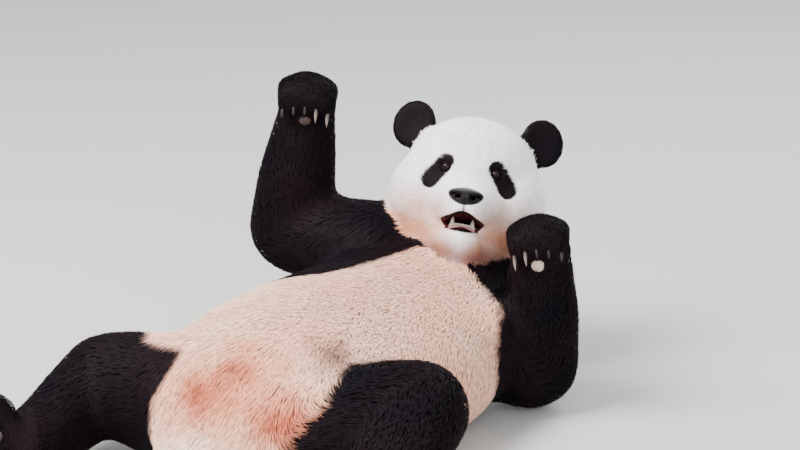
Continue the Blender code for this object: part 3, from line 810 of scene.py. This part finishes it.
def face_colours(heads, broad, patchy):
    """White, with reddish cheeks, a brown-stained chin darkened at the bottom as painted shade, and
    a dark line from the nose to the lip.
    """
    x, y, z = heads.T
    low = step(0.010, -0.110, z + 0.012 * broad) * step(0.030, 0.085, np.abs(x) - z * 0.3)
    face = mixed(WHITE, CHEEK, np.clip(low * (0.92 + 0.3 * patchy), 0, 1))
    # The bottom of the chin: its brown stain, darkened as painted shade.
    face = mixed(face, CHIN_STAIN_AND_SHADE, step(-0.108, -0.150, z) * (1 - 0.3 * bell(x, 0.03)))
    return mixed(face, NOSE_REFLECTION_AND_LINE_GREY, bell(x, 0.0022) * (z < -0.050) * (z > -0.080) * (y < -0.12))


def markings(points, owners, dark):
    """The coat's colour at each place; dark is the smoothed share of black solids there."""
    heads = in_head(points)
    at = points - np.array(MOVED)
    on_face = owned_by(owners, "head", "jaw")
    fine = noise_at(points, 0.008, 9.0)
    broad = noise_at(points, 0.11, 5.0)
    patchy = noise_at(points, 0.034, 2.0)
    colour = body_colours(at, fine, broad, patchy)
    colour[on_face] = face_colours(heads, broad, patchy)[on_face]
    colour[owned_by(owners, "ear_left", "ear_right")] = WHITE
    rump = step(-0.44, -0.50, at[:, 1] + 0.03 * patchy) * owned_by(owners, "tail", "trunk")
    colour = mixed(colour, WHITE, 0.8 * rump)
    shade = black_share(points, owners, dark)
    for side in (1, -1):
        edge = patch_edge(heads, side) + 0.0012 * fine
        patch = 1 - step(-0.0016, 0.0016, edge)
        shade = np.maximum(shade, patch * on_face * (heads[:, 1] < -0.02))
    black = mixed(BLACK, BROWN_BLACK, np.clip(0.4 + 0.6 * broad, 0, 1))
    return mixed(colour, black, shade)


def skin_colours(points, normals, owners, dark):
    """The markings, with the bare dark lips and the inside of the mouth, whose red is darkened as
    painted shade.
    """
    colour = markings(points, owners, dark)
    heads = in_head(points)
    mouth = mouth_reach(heads, owned_by(owners, "head", "jaw"))
    colour = mixed(colour, LIP, bare_lips(heads, normals, owners))
    colour = mixed(colour, np.array(LEATHER) * 0.5, 1 - step(0.88, 0.95, nose_reach(heads)))
    # Painted shade: the inside of the mouth is painted a red darkened for the shade in it.
    inside = (1 - step(0.98, 1.10, mouth)) * step(-0.140, -0.115, heads[:, 1])
    return mixed(colour, MOUTH_RED_IN_SHADE, inside)


# ---------------------------------------------------------------- tufts
def scattered(weights, count):
    """Which triangle each of count roots is in, in proportion to the weights."""
    total = np.cumsum(weights)
    marks = (np.arange(count) + RANDOM.random(count)) / count * total[-1]
    return np.minimum(np.searchsorted(total, marks), len(weights) - 1)


def laid_on(tree, corner_normals, points):
    """The nearest places on the skin, the skin's normals there, and the faces they are on."""
    found = [tree.find_nearest(p) for p in points]
    places = np.array([hit[0] for hit in found])
    faces = np.array([hit[2] for hit in found])
    return places, unit(corner_normals[faces]), faces


def clumped(roots, tips):
    """Draws the tips of neighbouring tufts together, so that the coat lies in locks.

    It also gives each tuft the tone of its lock.
    """
    leaders = RANDOM.choice(len(roots), max(1, len(roots) // LOCK_TUFTS), replace=False)
    leader = leaders[nearest(roots[leaders], roots)]
    pull = LOCK_PULL * RANDOM.random(len(roots))[:, None]
    lock_tone = RANDOM.normal(0, 1, len(roots))[leader]
    return tips + ((tips[leader] - tips) + (roots - roots[leader]) * 0.35) * pull, lock_tone


def coat_density(points, normals, owners, values, pads):
    """How many tufts each place of the skin gets: none on the lids, the lips and the pads."""
    heads = in_head(points)
    density = values[:, LAYERS] / (values[:, LENGTH] * values[:, WIDTH])
    density *= 1 - bare_lips(heads, normals, owners)
    density *= 1 - 0.3 * step(-0.3, -0.9, normals[:, 2]) * step(0.06, 0.03, points[:, 2])
    density *= step(0.82, 0.92, nose_reach(heads))
    spots = [(eye_frame(side), BARE_LIDS, 0, (0.95, 1.15)) for side in (1, -1)]
    spots += [(matrix, half, PAD_CLEAR, (0.80, 1.05)) for matrix, half, _, _ in pads]
    for matrix, (long, wide), clear, edge in spots:
        x, y, z = in_frame(points, matrix).T
        ahead = np.maximum(np.abs(x + clear / 2) - clear / 2, 0)
        bare = step(*edge, np.hypot(ahead / long, y / wide))
        density *= np.where(np.abs(z) < BARE_ZONE, bare, 1)
    return density


def grow_coat(mesh, owners, values, ways, dark, pads):
    """Every tuft on the skin, as arrays of its stations from root to tip and of its looks."""
    points, normals = points_of(mesh), normals_of(mesh)
    corners = corners_of(mesh)
    unwrap = read(mesh.uv_layers["OFBake"].data, "uv", 2).reshape(-1, 3, 2)
    a, b, c = (points[corners[:, k]] for k in range(3))
    area = np.linalg.norm(np.cross(b - a, c - a), axis=1) / 2
    density = coat_density(points, normals, owners, values, pads)
    chosen = scattered(area * density[corners].mean(axis=1), int(TUFTS * FEWER))
    u, v = RANDOM.random((2, len(chosen)))
    u, v = np.where(u + v > 1, 1 - u, u), np.where(u + v > 1, 1 - v, v)
    shares = np.stack([1 - u - v, u, v], axis=1)

    def at_root(rows):
        return np.einsum("nk,nk...->n...", shares, rows[corners[chosen]])

    roots, upright, way = at_root(points), unit(at_root(normals)), at_root(ways)
    depth, length, width = at_root(values[:, [DEPTH, LENGTH, WIDTH]]).T
    length = length * RANDOM.uniform(0.75, 1.25, len(roots))
    width = width * RANDOM.uniform(0.8, 1.25, len(roots)) / math.sqrt(FEWER)
    wave = noise_at(roots, 0.050, 1.0) * 0.26 + RANDOM.normal(0, 0.10, len(roots))
    way = unit(way + np.cross(upright, way) * wave[:, None])
    tree = BVHTree.FromPolygons(points.tolist(), corners.tolist())
    corner_normals = unit(normals[corners].sum(axis=1))
    half = (length * 0.5)[:, None]
    middle, middle_up, faces = laid_on(tree, corner_normals, roots + way * half)
    tip, tip_up, _ = laid_on(tree, corner_normals, middle + unit(middle - roots) * half)
    colour = markings(middle, owners[corners[faces, 0]], dark[corners[faces]].mean(axis=1))
    stand = depth * RANDOM.uniform(0.76, 1.0, len(roots))
    middle = middle + middle_up * (stand * 0.66)[:, None]
    tip = tip + tip_up * stand[:, None]
    tip, lock_tone = clumped(roots, tip)
    roots_in = roots - upright * (depth * 0.10)[:, None]
    return {
        "stations": np.stack([roots_in, middle, tip]),
        "upright": np.stack([upright, middle_up, tip_up]),
        "width": width,
        "unwrap": np.einsum("nk,nkj->nj", shares, unwrap[chosen]),
        "owners": owners[corners[chosen, 0]],
        "colour": colour,
        "tone": 1 + 0.05 * lock_tone + RANDOM.normal(0, 0.04, len(roots)),
    }


def coat_mesh(name, coat, chosen):
    """One mesh of closed tufts: a root, a three-cornered ring in the middle, and a tip."""
    stations, upright = coat["stations"][:, chosen], coat["upright"][:, chosen]
    count = len(chosen)
    places = np.empty((count, 5, 3))
    looks = np.empty((count, 5, 3))
    along = unit(stations[2] - stations[0])
    side = unit(np.cross(upright[1], along))
    rise = np.cross(along, side)
    width = coat["width"][chosen][:, None]
    for k, (across, up) in enumerate(((-0.5, 0.0), (0.5, 0.0), (0.0, 0.40))):
        places[:, 1 + k] = stations[1] + (side * across + rise * up) * width
        looks[:, 1 + k] = unit(upright[1] + side * across * 0.9 - along * 0.10)
    places[:, 0], places[:, 4] = stations[0], stations[2]
    looks[:, 0], looks[:, 4] = unit(upright[0]), unit(upright[2])
    places[..., 2] = np.maximum(places[..., 2], FLOOR_CLEARANCE)
    pattern = []
    for k in (1, 2, 3):
        after = k % 3 + 1
        pattern += [(0, after, k), (k, after, 4)]
    triangles = (np.arange(count)[:, None, None] * 5 + np.array(pattern)).reshape(-1)
    mesh = bpy.data.meshes.new(name)
    mesh.vertices.add(count * 5)
    write(mesh.vertices, "co", places)
    mesh.loops.add(len(triangles))
    write(mesh.loops, "vertex_index", triangles, np.int32)
    mesh.polygons.add(len(triangles) // 3)
    write(mesh.polygons, "loop_start", np.arange(0, len(triangles), 3), np.int32)
    mesh.update(calc_edges=True)
    mesh.shade_smooth()
    given = mesh.attributes.new("custom_normal", "FLOAT_VECTOR", "POINT")
    write(given.data, "vector", looks)
    spread = np.array([(0, -0.5), (-0.5, 0), (0.5, 0), (0, 0), (0, 0.5)])
    unwrap = coat["unwrap"][chosen][:, None] + spread * PATCH
    layer = mesh.uv_layers.new(name="OFBake")
    write(layer.data, "uv", unwrap.reshape(-1, 2)[triangles])
    # Painted shade: each tuft is darker at its root, deep in the coat, and a little lighter at its
    # tip; tone adds the random brightness of its lock and of the tuft.
    shade = np.array([0.90, 0.98, 0.98, 1.0, 1.03])[None, :, None]
    shade = shade * coat["tone"][chosen][:, None, None]
    paint(mesh, (coat["colour"][chosen][:, None] * shade).reshape(-1, 3))
    return mesh


# ---------------------------------------------------------------- materials
def material(name, roughness, specular=0.5, colour=None, **sockets):
    """A Principled material; without a colour it reads the painted one."""
    sockets["Specular_IOR_Level"] = specular
    made = bpy.data.materials.new(name)
    made.use_nodes = True
    shader = made.node_tree.nodes["Principled BSDF"]
    shader.inputs["Roughness"].default_value = roughness
    for socket, value in sockets.items():
        shader.inputs[socket.replace("_", " ")].default_value = value
    if colour:
        shader.inputs["Base Color"].default_value = (*colour, 1)
    else:
        painted = made.node_tree.nodes.new("ShaderNodeAttribute")
        painted.attribute_name = "coat"
        made.node_tree.links.new(painted.outputs["Color"], shader.inputs["Base Color"])
    return made


def add_bump(made, scale, distance, kind="Noise"):
    """Fine relief from a procedural texture in the object's own space."""
    tree = made.node_tree
    place = tree.nodes.new("ShaderNodeTexCoord")
    texture = tree.nodes.new(f"ShaderNodeTex{kind}")
    if kind == "Noise":
        texture.inputs["Detail"].default_value = 4
    texture.inputs["Scale"].default_value = scale
    bump = tree.nodes.new("ShaderNodeBump")
    bump.inputs["Strength"].default_value = 1.0
    bump.inputs["Distance"].default_value = distance
    tree.links.new(place.outputs["Object"], texture.inputs["Vector"])
    tree.links.new(texture.outputs[0], bump.inputs["Height"])
    tree.links.new(bump.outputs["Normal"], tree.nodes["Principled BSDF"].inputs["Normal"])


# ---------------------------------------------------------------- shapes in tubes
CAP_ANGLES = [math.radians(angle) for angle in (30, 55, 75, 86)]


def curved(rows, per_span):
    """A smooth curve through rows of numbers."""
    rows = np.array(rows, float)
    ends = np.vstack([2 * rows[0] - rows[1], rows, 2 * rows[-1] - rows[-2]])
    made = []
    for a, b, c, d in zip(ends, ends[1:], ends[2:], ends[3:]):
        for t in np.arange(per_span) / per_span:
            bend = (2 * a - 5 * b + 4 * c - d) * t**2 + (3 * b - a - 3 * c + d) * t**3
            made.append(0.5 * (2 * b + (c - a) * t + bend))
    return np.vstack([made, rows[-1]])


class Shape:
    """Points, faces and colours of one piece, gathered part by part."""

    def __init__(self):
        self.points, self.faces, self.colours = [], [], []

    def tube(self, rows, side, sides, colours):
        """A closed tube through rows (x, y, z, half width, half depth).

        It has one colour, or one for each row.
        """
        rows = np.array(rows, float)
        colours = np.broadcast_to(colours, (len(rows), 3))
        tangents = unit(np.gradient(rows[:, :3], axis=0))
        start = len(self.points)
        for row, tangent, colour in zip(rows, tangents, colours):
            across = unit(np.array(side) - np.dot(side, tangent) * tangent)
            depth = np.cross(tangent, across)
            for angle in np.arange(sides) * 2 * math.pi / sides:
                offset = across * row[3] * math.cos(angle) + depth * row[4] * math.sin(angle)
                self.points.append(row[:3] + offset)
                self.colours.append(colour)
        last = len(self.points) - sides
        for low in range(start, last, sides):
            for k in range(sides):
                after = (k + 1) % sides
                self.faces.append((low + k, low + after, low + sides + after, low + sides + k))
        self.faces.append(tuple(range(start + sides - 1, start - 1, -1)))
        self.faces.append(tuple(range(last, last + sides)))

    def piece(self, name, matrix=None):
        """The object, moved by the matrix."""
        mesh = bpy.data.meshes.new(name)
        mesh.from_pydata([tuple(p) for p in self.points], [], self.faces)
        if matrix:
            mesh.transform(matrix)
        mesh.shade_smooth()
        paint(mesh, np.array(self.colours))
        return add_object(name, mesh)


def domed(rows):
    """Rows with a few more at both ends, so that a tube closes roundly."""
    rows = np.array(rows, float)
    caps = []
    for last, inner in ((rows[0], rows[1]), (rows[-1], rows[-2])):
        out = unit(last[:3] - inner[:3]) * 0.8 * last[3:].mean()
        cap = [(*(last[:3] + out * math.sin(a)), *(last[3:] * math.cos(a))) for a in CAP_ANGLES]
        caps.append(cap)
    return np.vstack([caps[0][::-1], rows, caps[1]])


def shaded(count, start, end, power):
    """Colours that run from one to another."""
    return mixed(start, end, np.linspace(0, 1, count) ** power)


# ---------------------------------------------------------------- the head's own pieces
def make_nose(looks):
    """The leather of the nose: broad above, with a painted reflection on its top, two comma-shaped
    nostrils painted dark as shade, and a groove.
    """
    bm = bmesh.new()
    bmesh.ops.create_icosphere(bm, subdivisions=5, radius=1)
    mesh = mesh_of("nose", bm)
    x, y, z = points_of(mesh).T
    front = step(0.25, -0.35, y)
    x = x * (1 - 0.46 * step(0.40, -1.0, z))
    z = np.where(z > 0, z * (1 - 0.14 * step(0.4, 1.0, z)), z)
    y = y - 0.16 * step(0.1, 0.7, z) * step(0.2, -0.6, y) + 0.14 * step(0.1, -0.9, z) * front
    size = np.abs(x)

    def mound(across, up, wide, high, lean):
        return bell(size - across, wide) * bell(z - up + (size - across) * lean, high)

    hole, tail, wing = (mound(*row) for row in (NOSTRIL, NOSTRIL_TAIL, NOSE_WING))
    groove = bell(x, 0.050) * step(0.45, 0.05, z)
    y = y + front * (0.62 * np.maximum(hole, 0.75 * tail) - 0.14 * wing + 0.11 * groove)
    set_points(mesh, np.stack([x, y, z], axis=1) * np.array(NOSE_HALF) * 1.02)
    # The top of the leather is painted lighter grey, as a reflection of the sky.
    colour = mixed(LEATHER, NOSE_REFLECTION_AND_LINE_GREY, step(0.25, 0.80, z))
    # Painted shade: the hollows of the nostrils are painted nearly black, and their deepest faces
    # get a matte material with no reflection.
    inside = np.clip(np.maximum(hole, tail) * front * 1.3, 0, 1)
    paint(mesh, colour * (1 - 0.9 * inside)[:, None])
    mesh.transform(HEAD @ Matrix.Translation(NOSE_AT + Vector((0, NOSE_BACK, 0))))
    obj = add_object("nose_leather", mesh)
    placed(obj, looks["nose"], "nose_leather", "nose")
    mesh.materials.append(looks["nostril"])
    deep = inside[corners_of(mesh)].min(axis=1) > 0.60
    write(mesh.polygons, "material_index", deep, np.int32)


def make_eye(looks, name, side):
    """A dark glossy eyeball with a brown iris, a little bulged in front."""
    bm = bmesh.new()
    bmesh.ops.create_uvsphere(bm, u_segments=40, v_segments=32, radius=1)
    mesh = mesh_of(name, bm)
    points = points_of(mesh)
    off = np.degrees(np.arccos(np.clip(points[:, 2], -1, 1)))
    bulge = 1 + 0.06 * np.clip(1 - (off / 40) ** 2, 0, 1)
    set_points(mesh, points * bulge[:, None] * EYE_RADIUS)
    colour = mixed(PUPIL, IRIS, step(14, 19, off))
    colour = mixed(colour, IRIS_RIM, step(34, 40, off))
    paint(mesh, mixed(colour, EYE_WHITE, step(52, 60, off)))
    mesh.transform(eye_frame(side))
    placed(add_object(f"eyeball_{name}", mesh), looks["eye"], "eye", f"eye_{name}")


def make_teeth(looks, name):
    """A gum with its canines, incisors and the small teeth behind them."""
    height, up, spread, thick, canine, incisor, back = TEETH[name]
    shape = Shape()

    def arch(angle):
        x = ARCH_HALF_WIDTH * math.sin(angle)
        y = ARCH_BACK + back - ARCH_LENGTH * math.cos(angle)
        return np.array((x, y, height))

    rows = [(*arch(angle), *GUM_HALF) for angle in np.radians(np.linspace(-78, 78, 27))]
    shape.tube(domed(rows), (0, 0, 1), 14, GUM)
    crowns = []
    for side in (1, -1):
        at = math.asin(side * spread / ARCH_HALF_WIDTH)
        crowns.append((at, thick, thick, canine, CANINE_LEAN, CANINE_FORM))
    for k in range(6):
        at = math.asin((k - 2.5) * INCISOR_SPACING / ARCH_HALF_WIDTH)
        crowns.append((at, 0.0029, 0.0019, incisor, 0.0006, INCISOR_FORM))
    for side in (1, -1):
        for angle in (63, 74):
            at = math.radians(side * angle)
            crowns.append((at, 0.0030, 0.0030, incisor * 0.8, 0.0, INCISOR_FORM))
    for angle, wide, deep, length, lean, form in crowns:
        foot = arch(angle) + (0, 0, up * TOOTH_FOOT)
        rows = []
        for share, size in form:
            place = foot + (0, lean * share**2, up * length * share)
            rows.append((*place, wide * size, deep * size))
        rows = curved(rows, 3)
        shape.tube(rows, (1, 0, 0), 12, shaded(len(rows), np.array(IVORY) * 0.62, IVORY, 0.5))
    placed(shape.piece(f"{name}_set", HEAD), looks["teeth"], "teeth", name)


def make_tongue(looks):
    shape = Shape()
    shape.tube(domed(curved(TONGUE, 6)), (1, 0, 0), 24, TONGUE_PINK)
    points = np.array(shape.points)
    groove = TONGUE_GROOVE[0] * bell(points[:, 0], TONGUE_GROOVE[1])
    points[:, 2] -= groove * (points[:, 2] > TONGUE[0][2])
    shape.points = list(points)
    placed(shape.piece("tongue_wet", HEAD), looks["tongue"], "tongue", "tongue")


# ---------------------------------------------------------------- claws and pads
def claw_rows(name):
    """Centres and half sizes along a claw, read from the rings of its solid."""
    points = np.array([v.co for v in welded(name).verts])
    middle = points.mean(axis=0)
    axis = np.linalg.svd(points - middle)[2][0]
    points = points[np.argsort((points - middle) @ axis)]
    rows = []
    for ring in np.array_split(points, 4):
        centre = ring.mean(axis=0)
        size = np.linalg.norm(ring - centre, axis=1).mean()
        rows.append((*centre, size, size))
    return rows[::-1] if rows[0][3] < rows[-1][3] else rows


def make_claws(looks, paw):
    """The five horn claws of a paw, rounder and sharper than their solids."""
    shape = Shape()
    names = [f"claw_{paw}_{k}" for k in range(1, 6)]
    names.sort(key=lambda name: (node_centre(name) - HEAD.translation).length)
    for number, name in enumerate(names):
        hidden = paw.startswith("forepaw") and number >= SHOWN_CLAWS
        rows = curved(claw_rows(name), 5)[: -HIDDEN_CUT if hidden else None]
        buried = rows[0].copy()
        buried[:3] -= unit(rows[2, :3] - rows[0, :3]) * CLAW_BURIED
        rows = np.vstack([buried, rows])
        rows[:, 3:] *= (1 - 0.90 * np.linspace(0, 1, len(rows)) ** 2.2)[:, None] * CLAW_SECTION
        side = np.cross(rows[5, :3] - rows[0, :3], rows[-1, :3] - rows[5, :3])
        # Painted shade: the hidden claws are darkened as if in shadow; the shown ones run from a
        # dark root to a pale tip.
        root, tip = (SHADED_HORN_ROOT, SHADED_HORN_TIP) if hidden else (HORN_ROOT, HORN_TIP)
        shape.tube(rows, unit(side), 12, shaded(len(rows), root, tip, 1.2))
    placed(shape.piece(f"claws_{paw}"), looks["claw"], "claw", *names)


def pad_places(tree):
    """Every pad: where it lies on the skin, its frame, half sizes and colour."""
    made = []
    for limb, (along, across), halves, rise, colour in PADS:
        spots = [(along, across, halves)]
        if limb.startswith("leg"):
            for k in range(5):
                toe = TOE_ALONG - TOE_BOW * (k - 2) ** 2
                spots.append((toe, (k - 2) * TOE_SPACING, TOE_PAD))
        for x, y, half in spots:
            place, normal, _, _ = ray_down(tree, paw_frame(limb), x, y, 0.16)
            ahead = squared(paw_frame(limb).to_3x3() @ Vector((1, 0, 0)), normal)
            matrix = frame_of(place, ahead, normal.cross(ahead), normal)
            made.append((matrix, half, rise, colour))
    return made


def make_pads(looks, places):
    """Bare leathery cushions that come up through the hair of the palms and soles."""
    shape = Shape()
    for matrix, (long, wide), rise, colour in places:
        bm = bmesh.new()
        bmesh.ops.create_icosphere(bm, subdivisions=3, radius=1)
        bm.verts.index_update()
        start = len(shape.points)
        shape.faces += [tuple(start + v.index for v in face.verts) for face in bm.faces]
        for vertex in bm.verts:
            x, y, z = vertex.co
            lumpy = 1 + 0.05 * noise.noise(vertex.co * 2.2)
            local = Vector((x * long * lumpy, y * wide * lumpy, (z * 1.4 + 0.2) * rise))
            shape.points.append(np.array(matrix @ local))
            shape.colours.append(colour)
        bm.free()
    placed(shape.piece("pads"), looks["pad"], "nose_leather")


# ---------------------------------------------------------------- making the model
def make_looks():
    """The materials, all of them reading painted colours, and six with fine procedural relief."""
    looks = {
        "skin": material("skin", 0.66, 0.03),
        "light": material("light_hair", 0.70, 0.20, Sheen_Weight=0.20),
        "black": material("black_hair", 0.60, 0.06),
        "nose": material("nose_leather", 0.42, 0.17),
        # For the painted shade deep in the nostrils: matte and without reflection.
        "nostril": material("nostril", 0.95, 0.0),
        "eye": material("eye", 0.05, 0.16, Coat_Weight=0.06, Coat_Roughness=0.02),
        "teeth": material("teeth", 0.26, Coat_Weight=0.4, Coat_Roughness=0.1),
        "tongue": material("tongue", 0.35, Coat_Weight=0.5, Coat_Roughness=0.15),
        "claw": material("claw", 0.42, 0.30),
        "pad": material("pad", 0.60, 0.30),
    }
    add_bump(looks["skin"], 260, 0.0006)
    add_bump(looks["nose"], 560, 0.0004, "Voronoi")
    add_bump(looks["teeth"], 300, 0.0002)
    add_bump(looks["tongue"], 900, 0.0006, "Voronoi")
    add_bump(looks["claw"], 240, 0.0004)
    add_bump(looks["pad"], 520, 0.0008, "Voronoi")
    return looks


def make_skin(looks):
    """The skin over the flesh and the pads on it; gives the coat that grows there."""
    mesh, owners, values = skin_mesh()
    obj = add_object("skin", mesh)
    bpy.context.view_layer.objects.active = obj
    obj.select_set(True)
    bpy.ops.object.mode_set(mode="EDIT")
    bpy.ops.mesh.select_all(action="SELECT")
    bpy.ops.uv.smart_project(angle_limit=math.radians(66), island_margin=0.002)
    bpy.ops.object.mode_set(mode="OBJECT")
    mesh.uv_layers[0].name = "OFBake"
    points = points_of(mesh)
    net = Net(mesh)
    dark = net.smoothed(black_solids(owners), 10)
    ways = lie_of_coat(points, normals_of(mesh), owners, net)
    paint(mesh, skin_colours(points, normals_of(mesh), owners, dark))
    placed(obj, looks["skin"], "white_coat", *FLESH)
    tree = BVHTree.FromPolygons(points.tolist(), corners_of(mesh).tolist())
    places = pad_places(tree)
    make_pads(looks, places)
    return grow_coat(mesh, owners, values, ways, dark, places)


COAT_PIECES = {
    "coat_head": (("head", "jaw"), "white_coat"),
    "coat_ears_neck": (("ear", "neck"), "black_coat"),
    "coat_trunk": (("trunk", "tail"), "cream_coat"),
    "coat_arms": (("upper_arm", "forearm"), "black_coat"),
    "coat_legs": (("thigh", "shank"), "black_coat"),
    "coat_paws": (("forepaw", "hindfoot"), "black_coat"),
}


def make_coat(looks, coat):
    """The tufts in pieces by region, each with a light and a black material."""
    regions = np.array(REGION)[coat["owners"]]
    for name, (members, slot) in COAT_PIECES.items():
        chosen = np.nonzero(np.isin(regions, members))[0]
        parts = math.ceil(len(chosen) / PIECE_TUFTS)
        for number, share in enumerate(np.array_split(chosen, parts)):
            piece = add_object(f"{name}_{number + 1}", coat_mesh(name, coat, share))
            placed(piece, looks["light"], slot)
            piece.data.materials.append(looks["black"])
            black = np.repeat(coat["colour"][share, 0] < DARK_HAIR, TUFT_TRIANGLES)
            write(piece.data.polygons, "material_index", black, np.int32)


def set_up(name, data, place, aim):
    """A lamp or a camera, turned to what it is aimed at."""
    obj = add_object(name, data)
    obj.location = place
    obj.rotation_euler = (aim - place).to_track_quat("-Z", "Y").to_euler()
    return obj


def make_stage():
    bm = bmesh.new()
    bmesh.ops.create_circle(bm, cap_ends=True, radius=30, segments=64)
    floor = add_object("floor", mesh_of("floor", bm))
    floor.data.materials.append(material("floor", 0.9, colour=FLOOR_GREY))
    world = bpy.data.worlds.new("studio")
    bpy.context.scene.world = world
    world.use_nodes = True
    background = world.node_tree.nodes["Background"]
    background.inputs["Color"].default_value = (*SKY, 1)
    background.inputs["Strength"].default_value = SKY_STRENGTH
    for name, place, size, power in LAMPS:
        light = bpy.data.lights.new(name, "AREA")
        light.size = size
        light.energy = power
        set_up(name, light, Vector(place), LAMP_AIM)


def make_camera():
    azimuth, elevation = (math.radians(angle) for angle in CAMERA_ANGLES)
    level = math.cos(elevation)
    back = Vector((math.sin(azimuth) * level, -math.cos(azimuth) * level, math.sin(elevation)))
    camera = bpy.data.cameras.new("camera")
    camera.sensor_width = 36
    camera.lens = CAMERA_LENS
    camera.shift_x, camera.shift_y = CAMERA_SHIFT
    aim = Vector(CAMERA_AIM) + MOVED
    bpy.context.scene.camera = set_up("camera", camera, aim + back * CAMERA_DISTANCE, aim)


looks = make_looks()
make_coat(looks, make_skin(looks))
make_nose(looks)
make_tongue(looks)
for name, side in SIDES:
    make_eye(looks, name, side)
for name in TEETH:
    make_teeth(looks, name)
for paw in PAW_NAMES:
    make_claws(looks, paw)
make_stage()
make_camera()
